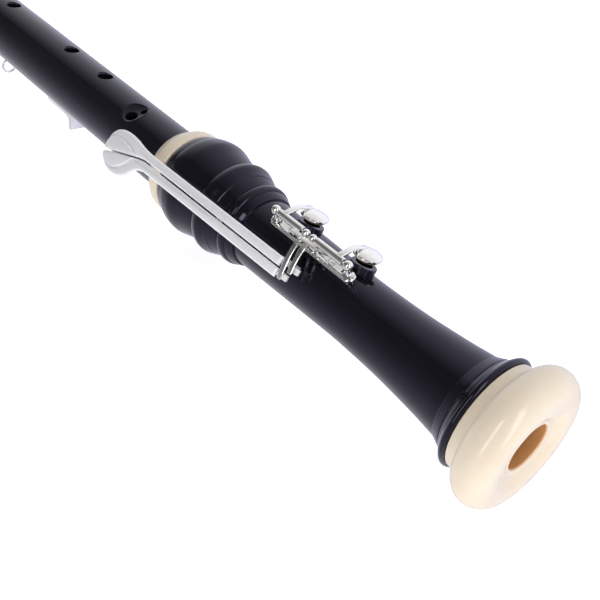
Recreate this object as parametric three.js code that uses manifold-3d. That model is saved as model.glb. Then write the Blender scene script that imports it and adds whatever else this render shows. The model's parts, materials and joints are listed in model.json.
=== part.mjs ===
// Bass recorder in three joints, with a two-key foot and a bent crook.
// Millimetres. X runs along the bore towards the foot, Z is up and faces the finger holes.
// Places along the bore are distances from the foot's face towards the head.
// Angles round the bore are from straight up, positive towards +Y.
import * as THREE from 'three';
import { mergeVertices, toCreasedNormals } from 'three/addons/utils/BufferGeometryUtils.js';
import Module from 'manifold-3d';

const wasm = await Module();
wasm.setup();

// Sizes shared by many pieces
const seatGap = 0.3;
const overrun = 3;
const weldGap = 0.0004;
const creaseAngle = 0.6;
const bodySides = 28;
const smallSides = 16;

// Bore
const footBoreRadius = 12;
const footUpperBoreRadius = 12.4;
const middleLowBoreRadius = 12.9;
const middleHighBoreRadius = 14.3;
const headBoreRadius = 15.2;

// Foot end ring
const donutRadius = 36.2;
const donutCrest = 2.9;
const donutCrestRadius = 25.5;
const donutCrestWidth = 3;
const donutFront = 7;
const donutBack = 9.4;
const donutBackRadius = 28.9;
const lipRadius = 14.4;
const lipRise = 0.5;
const boreChamfer = 0.8;
const endNeckRadius = 27.9;
const endNeckLength = 5.3;
const spigotRadius = 15.6;
const spigotLength = 24;

// Foot joint, outside
const flangeRadius = 29.3;
const flangeEdgeRadius = 28.3;
const flangeLength = 7;
const flangeRootRadius = 25;
const bandLength = 5.2;
const bandRadius = 24.9;
const bandEndRadius = 22.9;
const neckTopRadius = 22.6;
const neckWaistRadius = 17.95;
const neckEndRadius = 19.45;
const neckLength = 143.1;
const lowBeadRadius = 22.2;
const lowBeadStartRadius = 20.4;
const lowBeadLength = 4.9;
const collarBeadRadius = 23.6;
const collarBeadLength = 5.7;
const grooveWidth = 0.6;
const grooveDepth = 0.7;
const bigBeadRadius = 27.1;
const bigBeadStartRadius = 22.3;
const bigBeadEndRadius = 25.7;
const bigBeadLength = 17.3;
const bulbRadius = 28.4;
const bulbStartRadius = 23.5;
const bulbEndRadius = 25.3;
const bulbLength = 31.2;
const ringGrooveRadius = 23.3;
const ringGrooveLength = 1.5;

// Socket rings and sockets
const ringSeatWall = 3.6;
const ringSeatLength = 6.5;
const ringLipLength = 8.2;
const ringWall = 4.8;
const ringEdge = 0.8;
const tenonClearance = 0.4;
const tenonFloorGap = 0.4;

// Middle joint
const middleRadius = 18.6;
const middleTopRadius = 19.2;
const middleLength = 350;
const lowTenonRadius = 16.2;
const highTenonRadius = 17.2;
const lowTenonLength = 31.4;
const highTenonLength = 33;
const corkDepth = 1.4;
const corkLength = 17;
const corkInset = 7;
const corkProud = 0.12;

// Finger holes: spots are distances from the middle joint's lower end
const doubleHoleSpot = 43.5;
const doubleHoleAngle = -23;
const doubleDishRadius = 7.8;
const doubleDishDepth = 2.2;
const bigHoleRadius = 3.7;
const smallHoleRadius = 2.2;
const bigHolePlace = [-0.4, -2.9];
const smallHolePlace = [2.3, 4.2];
const fingerHoleRadius = 4.3;
const fingerHoleChamfer = 0.9;
const holeFlareShare = 1.6;
const fingerHoleSpots = [87.1, 126.1, 200.1, 241.1, 281.1];
const thumbHoleSpot = 270.1;
const thumbHoleRadius = 4.1;

// Keywork, hinge line and plate: spots are distances from the upper post towards the foot
const hingeAngle = -21;
const hingeRadius = 27.5;
const ballRadius = 2.6;
const innerBallRadius = 2.2;
const postBelowBead = 15;
const upperInnerSpot = 22.5;
const lowerInnerSpot = 27.5;
const lowerOuterSpot = 51.9;
const postStemRadius = 1.25;
const postFootRadius = 2.7;
const postFootHeight = 1.1;
const postFootEdgeShare = 0.5;
const plateTopRadius = 20.9;
const plateWidth = 7.2;
const plateOverhang = 3.6;
const plateBevel = 0.5;
const plateBury = 2;
const rodRadius = 0.9;
const rodReachShare = 0.88;
const keyTubeRadius = 2.1;
const plateScrewSpots = [11.3, 40.3];
const screwHeadRadius = 1.9;
const screwHeadHeight = 0.8;
const screwShankRadius = 0.9;
const screwLength = 5;
const slotWidth = 0.5;
const slotDepth = 0.35;
const slotTurn = 35;

// Keys
const upperArmSpot = 21.1;
const lowerArmSpot = 25.7;
const armSlant = 0.33;
const armWidth = 2.7;
const armOuterRadius = 27.9;
const armThickness = 2;
const armBevel = 0.45;
const upperArmTipAngle = -75.5;
const lowerArmTipAngle = -64.5;
const armRootTurn = 5;
const armRootHeight = 2.4;
const armRootReach = 3.4;
const armRootDepth = 2.6;
const padArmWidth = 3.4;
const padArmThickness = 1.5;
const upperPadArmSpot = 6.1;
const lowerPadArmSpot = 45.3;
const upperCupSpot = 10.9;
const lowerCupSpot = 48.9;
const cupAngle = 17;
const cupRadius = 7.6;
const cupBrim = 1.5;
const cupDome = 3;
const cupRecess = 1;
const padRadius = 6.6;
const padProud = 1.2;
const padThickness = 1.9;
const chimneyRadius = 7;
const chimneyTopRadius = 21;
const toneHoleRadius = 4.6;
const padShutGap = 0.25;
const upperKeyOpening = 7.9;
const lowerKeyOpening = 9.6;
const ridgeRise = 1.3;
const springRadius = 0.4;
const springSides = 6;

// Long levers
const leverAngle = -66;
const leverAxleShare = 0.667;
const leverTopAtAxle = 30.9;
const leverSlope = 3.58;
const leverThickness = 2.2;
const leverBevel = 0.5;
const leverBevelSide = 0.75;
const leverWidth = 4.9;
const leverGap = 0.9;
const upperLeverReach = 47.4;
const lowerLeverReach = 46.8;
const tongueDrop = 0.35;
const barEnd = 56;
const touchLength = 33;
const touchKick = 8.2;
const touchWidth = 15;
const leafRise = 0.7;
const leafBevel = 0.25;
const leafInsetShare = 0.64;
const leafSkip = 3;
const axleDrop = 2.4;
const axleRadius = 0.8;
const lugRadius = 1.95;
const lugThickness = 1.7;
const pillarHeadRadius = 1.9;
const pillarHeadWidth = 1.9;
const pillarRadius = 1.5;
const pillarDepth = 5;
const tongueWidth = 3;
const tongueThickness = 1.5;
const tongueOffset = 2.9;
const tongueStart = 40;
const upperTongueReach = 53.1;
const lowerTongueReach = 57.2;
const tongueDipEnd = 53;
const tongueDip = 3.5;
const tongueRamp = 1.2;
const feltLength = 4;
const feltWidth = 2.2;
const feltPlace = 36;
const feltOffset = 2;

// Thumb rest and strap ring on the back of the middle joint
const restSpot = 126.1;
const restLength = 30;
const restWidth = 14;
const restPlateRise = 2;
const restHookRise = 8;
const restHookThickness = 2.4;
const strapSpot = 206.1;
const strapPlateLength = 20;
const strapPlateWidth = 9;
const strapPlateRise = 1.8;
const strapLugRadius = 2.3;
const strapLugWidth = 2.4;
const strapHoleRadius = 1.25;
const strapRingRadius = 4.6;
const strapWireRadius = 0.8;

// Head
const headTubeRadius = 20.4;
const headBulbRadius = 26.6;
const headBeadRise = 2.1;
const headLength = 371;
const windowWidth = 17;
const cutUp = 8;
const windwayHeight = 1.8;
const windwayWidth = 15;
const blockLength = 67.7;
const rampLength = 36;
const lipHeight = 0.7;
const capTenonRadius = 18.3;
const capTenonLength = 22;
const sealDepth = 1.1;
const sealLength = 9;
const capWall = 3.6;
const capChamberRadius = 14.5;
const capChamberLength = 18;
const capEndWall = 13;
const capRingLength = 8;
const capRingProud = 2;
const capRingWall = 1.9;

// Crook
const crookRadius = 4.5;
const crookBoreRadius = 3.7;
const ferruleWall = 2.4;
const ferruleLength = 8;
const ferruleSpigot = 9;
const crookStraight = 13;
const crookBend = 40;
const crookTurn = 118;
const crookReach = 62;
const crookCorkLength = 11;
const mouthLength = 46;
const mouthSocket = 15;
const mouthRootRadius = 8.2;
const mouthTipRadius = 5.2;
const mouthBoreRadius = 2.4;

// Profile shapes, as shares of the lengths and radii above
const backTurnShare = 0.25;
const flangeShares = [[0.00, 0.00], [0.08, 0.60], [0.19, 1.00]];
const flangeFallShares = [
  [0.31, 1.00], [0.43, 0.88], [0.57, 0.62], [0.71, 0.36], [0.86, 0.17], [1.00, -0.06],
];
const bandShares = [[0.05, 1.00], [0.38, 0.64], [0.70, 0.27], [0.97, 0.00]];
const neckShares = [
  [0.00, 0.000], [0.04, 0.150], [0.08, 0.300], [0.13, 0.450], [0.19, 0.610], [0.26, 0.770],
  [0.33, 0.880], [0.41, 0.955], [0.50, 1.000],
];
const neckRiseShares = [[0.62, 0.22], [0.75, 0.50], [0.88, 0.78], [1.00, 1.00]];
const lowBeadShares = [[0.00, 0.00], [0.45, 0.60], [0.90, 1.00]];
const bigBeadShares = [
  [0.00, 0.00], [0.15, 0.20], [0.31, 0.42], [0.33, 0.35], [0.35, 0.48], [0.49, 0.67], [0.61, 0.86],
  [0.69, 0.97], [0.75, 1.00],
];
const bigBeadFallShares = [[0.84, 0.86], [0.95, 0.42], [1.00, 0.00]];
const bulbRiseShares = [
  [0.00, 0.00], [0.08, 0.18], [0.18, 0.37], [0.28, 0.55], [0.37, 0.70], [0.44, 0.83], [0.51, 0.94],
  [0.58, 1.00],
];
const bulbFallShares = [[0.69, 0.90], [0.76, 0.77], [0.82, 0.60], [0.88, 0.39], [0.95, 0.18], [1.00, 0.00]];
const ringShares = [
  [0.00, 0.90], [0.08, 1.00], [0.34, 1.00], [0.48, 0.92], [0.62, 0.74], [0.76, 0.53], [0.90, 0.32],
  [1.00, 0.10],
];
const collarDipShare = 0.25;
const cupDomeShares = [[1.00, 0.00], [0.88, 0.42], [0.62, 0.78], [0.30, 0.97], [0.00, 1.00]];
const padEdgeShares = [[0.93, 0.00], [1.00, 0.25], [1.00, 1.00]];
const padArmRidgeShare = 0.58;
const padArmHumpShare = 0.6;
const padArmTopShares = [[1.00, -0.20], [0.80, -0.75]];
const padArmUnderShares = [[-0.10, -1.00], [0.40, -1.20]];
const padArmBevelShare = 0.8;
const springLengthShare = 0.62;
const springShares = [[0.00, 0.00], [0.12, 0.00], [0.30, 0.18], [0.60, 0.68], [0.85, 1.00], [1.00, 1.00]];
const splitShares = [[0.955, 1.00], [0.24, 0.14], [0.08, 0.00]];
const touchTipShare = 0.012;
const leafShares = [[0.30, 0.16], [0.95, 1.00]];
const middleTaperShare = 0.6;
const dishShares = [[0.00, 1.00], [0.45, 0.86], [0.75, 0.52], [0.93, 0.18], [1.00, 0.00]];
const restScrewShares = [-0.32, 0.12];
const strapScrewShares = [-0.34, 0.34];
const hookShares = [[-1.60, 0.50], [-1.10, 0.00]];
const plateBuryShare = 0.8;
const strapLugRiseShare = 0.75;
const windwayFloorShare = 0.93;
const capTopShares = [[0.50, 0.00], [0.70, 1.00], [0.90, 0.00]];
const capEndShares = [[0.30, 0.20], [0.60, 0.70], [0.85, 1.70]];
const capRingShares = [[0.00, 0.00], [0.20, 0.70], [0.50, 1.00], [0.80, 0.70]];
const ferruleLipShares = [[0.25, 0.60], [0.45, 0.00]];
const ferruleBoreShare = 0.4;
const mouthRootShares = [[-1.00, 0.90], [-0.85, 1.00], [-0.55, 1.00], [-0.40, 0.86], [0.00, 0.90]];
const mouthTipShares = [[0.55, 1.10], [0.94, 1.00], [1.00, 0.80]];
const touchOuterShares = [
  [0.00, 0.00], [0.20, 0.05], [0.38, 0.13], [0.56, 0.16], [0.74, 0.12], [0.88, -0.02],
  [0.97, -0.25], [1.00, -0.56], [0.985, -0.80],
];
const lowTouchOuterShares = [
  [0.00, 0.00], [0.13, 0.09], [0.23, 0.30], [0.33, 0.55], [0.46, 0.71], [0.62, 0.79],
  [0.80, 0.72], [0.92, 0.55], [0.985, 0.32],
];

// Places worked out from the sizes
const donutEnd = donutFront + donutBack;
const footStart = donutEnd + endNeckLength + seatGap;
const bandStart = footStart + flangeLength;
const neckStart = bandStart + bandLength;
const lowBeadStart = neckStart + neckLength;
const collarBeadStart = lowBeadStart + lowBeadLength;
const bigBeadStart = collarBeadStart + collarBeadLength + grooveWidth;
const bulbStart = bigBeadStart + bigBeadLength + grooveWidth;
const ringGrooveStart = bulbStart + bulbLength;
const footRingSeat = ringGrooveStart + ringGrooveLength;
const footEnd = footRingSeat + ringSeatLength;
const middleStart = footEnd + seatGap;
const middleEnd = middleStart + middleLength;
const footSocketFloor = middleStart - lowTenonLength - tenonFloorGap;
const headStart = middleEnd + seatGap;
const headEnd = headStart + headLength;
const headSocketFloor = middleEnd + highTenonLength + tenonFloorGap;
const capStart = headEnd - capTenonLength;
const capEnd = headEnd + capChamberLength + capEndWall;
const doubleHolePlace = middleStart + doubleHoleSpot;
const restPlace = middleStart + restSpot;
const strapPlace = middleStart + strapSpot;
const windowLow = headEnd - blockLength - cutUp;
const blockStart = headEnd - blockLength + seatGap;
const postStart = lowBeadStart - postBelowBead;
const outerPostPlaces = [postStart, postStart - lowerOuterSpot];
const innerPostPlaces = [postStart - upperInnerSpot, postStart - lowerInnerSpot];
const plateScrewPlaces = plateScrewSpots.map((spot) => postStart - spot);
const leverAxlePlace = collarBeadStart + leverAxleShare * collarBeadLength;
const keyTubes = [
  [innerPostPlaces[0] + innerBallRadius + seatGap, outerPostPlaces[0] - ballRadius - seatGap],
  [outerPostPlaces[1] + ballRadius + seatGap, innerPostPlaces[1] - innerBallRadius - seatGap],
];
const armInnerRadius = armOuterRadius - armThickness;

const radians = THREE.MathUtils.degToRad;

// Geometry to solid and back
function solid(geometry) {
  const bare = new THREE.BufferGeometry();
  bare.setAttribute('position', geometry.getAttribute('position').clone());
  if (geometry.index) bare.setIndex(geometry.index.clone());
  const welded = mergeVertices(bare, weldGap);
  const kept = [];
  const corners = welded.index.array;
  for (let i = 0; i < corners.length; i += 3) {
    const [a, b, c] = [corners[i], corners[i + 1], corners[i + 2]];
    if (a !== b && b !== c && c !== a) kept.push(a, b, c);
  }
  const make = (list) => new wasm.Manifold(new wasm.Mesh({
    numProp: 3,
    vertProperties: Float32Array.from(welded.getAttribute('position').array),
    triVerts: Uint32Array.from(list),
  }));
  const made = make(kept);
  if (made.volume() > 0) return made;
  const flipped = [];
  for (let i = 0; i < kept.length; i += 3) flipped.push(kept[i], kept[i + 2], kept[i + 1]);
  return make(flipped);
}

function toGeometry(body) {
  const mesh = body.getMesh();
  const step = mesh.numProp;
  const points = new Float32Array((mesh.vertProperties.length / step) * 3);
  for (let i = 0; i < points.length / 3; i += 1) {
    for (let k = 0; k < 3; k += 1) points[i * 3 + k] = mesh.vertProperties[i * step + k];
  }
  const geometry = new THREE.BufferGeometry();
  geometry.setAttribute('position', new THREE.BufferAttribute(points, 3));
  geometry.setIndex(Array.from(mesh.triVerts));
  return toCreasedNormals(geometry, creaseAngle);
}

const cut = (body, ...tools) => tools.reduce((left, tool) => left.subtract(tool), body);
const join = (body, ...others) => others.reduce((left, other) => left.add(other), body);

// Turned pieces along the bore: points are [place, radius]
function turned(points, sides = bodySides) {
  const outline = points.map(([place, radius]) => new THREE.Vector2(radius, place));
  if (!outline[0].equals(outline[outline.length - 1])) outline.push(outline[0].clone());
  const geometry = new THREE.LatheGeometry(outline, sides);
  geometry.rotateZ(Math.PI / 2);
  return solid(geometry);
}

const rod = (from, to, radius, sides = bodySides) => turned(
  [[from, 0], [to, 0], [to, radius], [from, radius]], sides,
);

const shares = (list, from, length, edge, peak) => list.map(
  ([along, out]) => [from + along * length, edge + out * (peak - edge)],
);

function beadPoints(from, length, edge, peak, steps) {
  const points = [];
  for (let i = 0; i <= steps; i += 1) {
    const turn = (Math.PI * i) / steps;
    points.push([from + (length * (1 - Math.cos(turn))) / 2, edge + (peak - edge) * Math.sin(turn)]);
  }
  return points;
}

// A frame that stands on the bore: local X to the foot, local Y round it, local Z outwards
function standing(place, angle, radius, slope = 0) {
  const turn = radians(angle);
  const out = new THREE.Vector3(0, Math.sin(turn), Math.cos(turn));
  const round = new THREE.Vector3(0, Math.cos(turn), -Math.sin(turn));
  const along = new THREE.Vector3(1, 0, 0);
  const tilt = radians(slope);
  const x = along.clone().multiplyScalar(Math.cos(tilt)).addScaledVector(out, -Math.sin(tilt));
  const z = along.clone().multiplyScalar(Math.sin(tilt)).addScaledVector(out, Math.cos(tilt));
  const origin = along.clone().multiplyScalar(-place).addScaledVector(out, radius);
  return new THREE.Matrix4().makeBasis(x, round, z).setPosition(origin);
}

const placed = (geometry, frame) => solid(geometry.applyMatrix4(frame));

// Upright turned piece: points are [radius, height]
function upright(points, sides = smallSides) {
  const outline = points.map(([radius, height]) => new THREE.Vector2(radius, height));
  if (!outline[0].equals(outline[outline.length - 1])) outline.push(outline[0].clone());
  return new THREE.LatheGeometry(outline, sides).rotateX(Math.PI / 2);
}

const drum = (radius, low, high, sides = smallSides) => upright(
  [[0, low], [radius, low], [radius, high], [0, high]], sides,
);

const block = (x0, x1, y0, y1, z0, z1) => new THREE.BoxGeometry(x1 - x0, y1 - y0, z1 - z0)
  .translate((x0 + x1) / 2, (y0 + y1) / 2, (z0 + z1) / 2);

// Flat piece with chamfered edges: the outline lies in local X and Y, its top is at the height
function bevelled(shape, top, thickness, bevel, side = bevel, steps = 8) {
  return new THREE.ExtrudeGeometry(shape, {
    depth: thickness - 2 * bevel,
    bevelEnabled: bevel > 0,
    bevelThickness: bevel,
    bevelSize: side,
    bevelOffset: -side,
    bevelSegments: 1,
    curveSegments: steps,
  }).translate(0, 0, top - thickness + bevel);
}

// Piece cut from a side view: the outline lies in Y and Z, its width runs along X
function crosswise(shape, place, width, bevel) {
  const geometry = bevelled(shape, width / 2, width, bevel);
  const turn = new THREE.Matrix4().makeBasis(
    new THREE.Vector3(0, 1, 0), new THREE.Vector3(0, 0, 1), new THREE.Vector3(1, 0, 0),
  );
  return geometry.applyMatrix4(turn).translate(-place, 0, 0);
}

// Piece cut from a side view: the outline lies in local X and Z, its width runs along local Y
function lengthwise(points, low, high) {
  const shape = new THREE.Shape(points.map(([x, z]) => new THREE.Vector2(x, z)));
  const geometry = new THREE.ExtrudeGeometry(shape, { depth: high - low, bevelEnabled: false });
  const turn = new THREE.Matrix4().makeBasis(
    new THREE.Vector3(1, 0, 0), new THREE.Vector3(0, 0, 1), new THREE.Vector3(0, -1, 0),
  );
  return geometry.applyMatrix4(turn).translate(0, high, 0);
}

const nodes = [];
const paints = {
  black: { color: 0x17161b, roughness: 0.22, metalness: 0 },
  cream: { color: 0xead9bd, roughness: 0.35, metalness: 0 },
  silver: { color: 0xd9d7d2, roughness: 0.2, metalness: 1 },
  steel: { color: 0x9a9a9c, roughness: 0.35, metalness: 1 },
  cork: { color: 0xb98a58, roughness: 0.9, metalness: 0 },
  felt: { color: 0x2a2326, roughness: 1, metalness: 0 },
  pad: { color: 0x8a5f3d, roughness: 0.8, metalness: 0 },
};

function add(name, body, paint) {
  nodes.push({ name, body, paint });
}

// Hinge line of the keys
const hingeFrame = (place) => standing(place, hingeAngle, hingeRadius);
const hingeY = hingeRadius * Math.sin(radians(hingeAngle));
const hingeZ = hingeRadius * Math.cos(radians(hingeAngle));
const onHinge = (from, to, radius, sides = smallSides) => {
  const geometry = new THREE.CylinderGeometry(radius, radius, to - from, sides);
  geometry.rotateZ(Math.PI / 2).translate(-(from + to) / 2, hingeY, hingeZ);
  return solid(geometry);
};

// Turn a closed key to its place at rest, with its pad lifted
function opened(body, degrees) {
  return body.translate([0, -hingeY, -hingeZ]).rotate([degrees, 0, 0]).translate([0, hingeY, hingeZ]);
}

// Foot joint
const footOutside = [
  ...shares(flangeShares, footStart, flangeLength, flangeEdgeRadius, flangeRadius),
  ...shares(flangeFallShares, footStart, flangeLength, flangeRootRadius, flangeRadius),
  ...shares(bandShares, bandStart, bandLength, bandEndRadius, bandRadius),
  ...shares(neckShares, neckStart, neckLength, neckTopRadius, neckWaistRadius),
  ...shares(neckRiseShares, neckStart, neckLength, neckWaistRadius, neckEndRadius),
  ...shares(lowBeadShares, lowBeadStart, lowBeadLength, lowBeadStartRadius, lowBeadRadius),
  ...beadPoints(
    collarBeadStart, collarBeadLength, lowBeadRadius - grooveDepth * collarDipShare, collarBeadRadius, 4,
  ),
  [bigBeadStart - grooveWidth / 2, bigBeadStartRadius - grooveDepth],
  ...shares(bigBeadShares, bigBeadStart, bigBeadLength, bigBeadStartRadius, bigBeadRadius),
  ...shares(bigBeadFallShares, bigBeadStart, bigBeadLength, bigBeadEndRadius, bigBeadRadius),
  [bulbStart - grooveWidth / 2, bulbStartRadius - grooveDepth],
  ...shares(bulbRiseShares, bulbStart, bulbLength, bulbStartRadius, bulbRadius),
  ...shares(bulbFallShares, bulbStart, bulbLength, bulbEndRadius, bulbRadius),
  [ringGrooveStart + seatGap, ringGrooveRadius],
  [footRingSeat, ringGrooveRadius],
];
const footSocketRadius = lowTenonRadius + tenonClearance;
const footSeatRadius = footSocketRadius + ringSeatWall;
const footInside = [
  [footRingSeat, footSeatRadius],
  [footEnd, footSeatRadius],
  [footEnd, footSocketRadius],
  [footSocketFloor, footSocketRadius],
  [footSocketFloor, footUpperBoreRadius],
  [footStart + spigotLength + seatGap, footUpperBoreRadius],
  [footStart + spigotLength + seatGap, spigotRadius + seatGap],
  [footStart, spigotRadius + seatGap],
];

// Foot outside, grown by a clearance, for pieces that lie on it
const footSkin = (grow) => turned([
  [footStart, 0],
  ...footOutside.map(([place, radius]) => [place, radius + grow]),
  [footRingSeat, 0],
]);

const cups = [
  { name: 'upper', cup: upperCupSpot, arm: upperPadArmSpot, opening: upperKeyOpening },
  { name: 'lower', cup: lowerCupSpot, arm: lowerPadArmSpot, opening: lowerKeyOpening },
].map(({ cup, arm, ...rest }) => ({ ...rest, cup: postStart - cup, arm: postStart - arm }));
const axleRadial = leverTopAtAxle - leverThickness - axleDrop;
const pillarHole = pillarRadius + seatGap;

let foot = turned([...footOutside, ...footInside]);
for (const { cup } of cups) {
  const seat = standing(cup, cupAngle, 0);
  const chimney = drum(chimneyRadius, footUpperBoreRadius + overrun, chimneyTopRadius, 28);
  foot = join(foot, placed(chimney, seat));
}
for (const { cup } of cups) {
  const seat = standing(cup, cupAngle, 0);
  foot = cut(foot, placed(drum(toneHoleRadius, 0, chimneyTopRadius + overrun, 20), seat));
}
for (const place of plateScrewPlaces) {
  const pilot = drum(screwShankRadius + seatGap, plateTopRadius - screwLength - seatGap,
    plateTopRadius + overrun, 10);
  foot = cut(foot, placed(pilot, standing(place, hingeAngle, 0)));
}
foot = cut(foot, placed(
  drum(pillarHole, collarBeadRadius - pillarDepth - seatGap, collarBeadRadius + overrun, 12),
  standing(leverAxlePlace, leverAngle, 0),
));
add('foot_joint', foot, 'black');

// Foot end ring: a raised lip round the bore, a shallow dish, and a crest that rounds over
// into the widest part
const donut = [];
const dishEdge = donutCrestRadius - donutCrestWidth / 2;
const crestEdge = donutCrestRadius + donutCrestWidth / 2;
const dishSteps = 5;
for (let i = 0; i <= dishSteps; i += 1) {
  const along = i / dishSteps;
  const rise = (1 - Math.cos(Math.PI * along)) / 2;
  donut.push([
    lipRise - (lipRise + donutCrest) * rise,
    lipRadius + (dishEdge - lipRadius) * along,
  ]);
}
const donutSteps = 8;
for (let i = 0; i <= donutSteps; i += 1) {
  const turn = (Math.PI / 2) * (i / donutSteps);
  donut.push([
    donutFront - (donutFront + donutCrest) * Math.cos(turn),
    crestEdge + (donutRadius - crestEdge) * Math.sin(turn),
  ]);
}
const backSteps = 6;
const backTurn = Math.acos(backTurnShare);
for (let i = 1; i <= backSteps; i += 1) {
  const turn = backTurn * (i / backSteps);
  donut.push([
    donutFront + (donutBack * Math.sin(turn)) / Math.sin(backTurn),
    donutRadius - ((donutRadius - donutBackRadius) * (1 - Math.cos(turn))) / (1 - Math.cos(backTurn)),
  ]);
}
add('foot_end_ring', turned([
  ...donut,
  [donutEnd + seatGap, endNeckRadius],
  [footStart - seatGap, endNeckRadius],
  [footStart - seatGap, spigotRadius],
  [footStart + spigotLength, spigotRadius],
  [footStart + spigotLength, footBoreRadius],
  [boreChamfer, footBoreRadius],
  [0, footBoreRadius + boreChamfer],
  [0, lipRadius],
]), 'cream');

// A cream ring that caps a socket: dir is 1 where the ring opens towards the head
function socketRing(seat, end, dir, seatRadius, lipInner) {
  const start = seat + dir * seatGap;
  const tip = end + dir * ringLipLength;
  return turned([
    [start, seatRadius + seatGap],
    ...shares(ringShares, start, tip - start, lipInner, seatRadius + ringWall),
    [tip, lipInner],
    [end + dir * seatGap, lipInner],
    [end + dir * seatGap, seatRadius + seatGap],
  ]);
}
add('foot_socket_ring', socketRing(
  footRingSeat, footEnd, 1, footSeatRadius, middleRadius + tenonClearance,
), 'cream');

// Key base plate: a strap with round ends, hollowed below to lie on the foot
const plateFrame = standing(0, hingeAngle, 0);
const plateEnds = [outerPostPlaces[0] + plateOverhang, outerPostPlaces[1] - plateOverhang];
const plateShape = new THREE.Shape();
const plateHalf = plateWidth / 2;
plateShape.absarc(-plateEnds[1] - plateHalf, 0, plateHalf, -Math.PI / 2, Math.PI / 2, false);
plateShape.absarc(-plateEnds[0] + plateHalf, 0, plateHalf, Math.PI / 2, Math.PI * 1.5, false);
const plateDeep = plateTopRadius - neckWaistRadius + plateBury;
let plate = placed(bevelled(plateShape, plateTopRadius, plateDeep, plateBevel), plateFrame);
plate = cut(plate, footSkin(seatGap));
for (const place of plateScrewPlaces) {
  const sink = upright([
    [0, plateTopRadius + overrun],
    [screwHeadRadius + seatGap, plateTopRadius + overrun],
    [screwHeadRadius + seatGap, plateTopRadius - screwHeadHeight - seatGap],
    [screwShankRadius + seatGap, plateTopRadius - screwHeadHeight - seatGap],
    [screwShankRadius + seatGap, 0],
    [0, 0],
  ]);
  plate = cut(plate, placed(sink, standing(place, hingeAngle, 0)));
}
add('key_base_plate', plate, 'silver');

// A slotted screw that stands outwards with its head's top at the given radius
function screw(place, angle, top) {
  let body = placed(upright([
    [0, top],
    [screwHeadRadius, top],
    [screwHeadRadius, top - screwHeadHeight],
    [screwShankRadius, top - screwHeadHeight],
    [screwShankRadius, top - screwLength + screwShankRadius],
    [0, top - screwLength],
  ]), standing(place, angle, 0));
  body = cut(body, placed(block(
    -screwHeadRadius - overrun, screwHeadRadius + overrun, -slotWidth / 2, slotWidth / 2,
    top - slotDepth, top + overrun,
  ), standing(place, angle, 0)));
  return body;
}
plateScrewPlaces.forEach((place, i) => {
  add(`plate_screw_${i + 1}`, screw(place, hingeAngle, plateTopRadius), 'silver');
});

// Ball posts, drilled for the hinge rods
function ballPost(place, ball) {
  const base = plateTopRadius + seatGap;
  const start = Math.asin(postStemRadius / ball);
  const points = [
    [0, base], [postFootRadius * (ball / ballRadius), base],
    [postFootRadius * (ball / ballRadius), base + postFootHeight * postFootEdgeShare],
    [postStemRadius, base + postFootHeight],
  ];
  const ballSteps = 6;
  for (let i = 0; i <= ballSteps; i += 1) {
    const turn = start + (Math.PI - start) * (i / ballSteps);
    points.push([ball * Math.sin(turn), hingeRadius - ball * Math.cos(turn)]);
  }
  points[points.length - 1][0] = 0;
  const body = placed(upright(points, 14), standing(place, hingeAngle, 0));
  return cut(body, onHinge(place - ball - overrun, place + ball + overrun, rodRadius + seatGap, 10));
}
add('post_1', ballPost(outerPostPlaces[0], ballRadius), 'silver');
add('post_2', ballPost(innerPostPlaces[0], innerBallRadius), 'silver');
add('post_3', ballPost(innerPostPlaces[1], innerBallRadius), 'silver');
add('post_4', ballPost(outerPostPlaces[1], ballRadius), 'silver');

// Hinge rods, each with its slotted end just inside its outer post's ball
function hingeRod(outerPlace, innerPlace) {
  const dir = Math.sign(outerPlace - innerPlace);
  const outer = outerPlace + dir * ballRadius * rodReachShare;
  const inner = innerPlace - dir * innerBallRadius * rodReachShare;
  const shaft = onHinge(Math.min(inner, outer), Math.max(inner, outer), rodRadius, 12);
  const deep = outer - dir * slotDepth;
  const wide = outer + dir * overrun;
  const slot = solid(block(
    -Math.max(deep, wide), -Math.min(deep, wide), -overrun, overrun, -slotWidth / 2, slotWidth / 2,
  ).rotateX(radians(slotTurn)).translate(0, hingeY, hingeZ));
  return cut(shaft, slot);
}
add('hinge_rod_upper', hingeRod(outerPostPlaces[0], innerPostPlaces[0]), 'silver');
add('hinge_rod_lower', hingeRod(outerPostPlaces[1], innerPostPlaces[1]), 'silver');

// Keys: a tube on the rod, a cross arm over the levers' tongues, a pad arm and a cup
function bandShape(fromAngle, toAngle, inner, outer, steps) {
  const shape = new THREE.Shape();
  for (let i = 0; i <= steps; i += 1) {
    const turn = radians(fromAngle + (toAngle - fromAngle) * (i / steps));
    const point = [outer * Math.sin(turn), outer * Math.cos(turn)];
    if (i) shape.lineTo(...point);
    else shape.moveTo(...point);
  }
  for (let i = steps; i >= 0; i -= 1) {
    const turn = radians(fromAngle + (toAngle - fromAngle) * (i / steps));
    shape.lineTo(inner * Math.sin(turn), inner * Math.cos(turn));
  }
  return shape;
}

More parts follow.
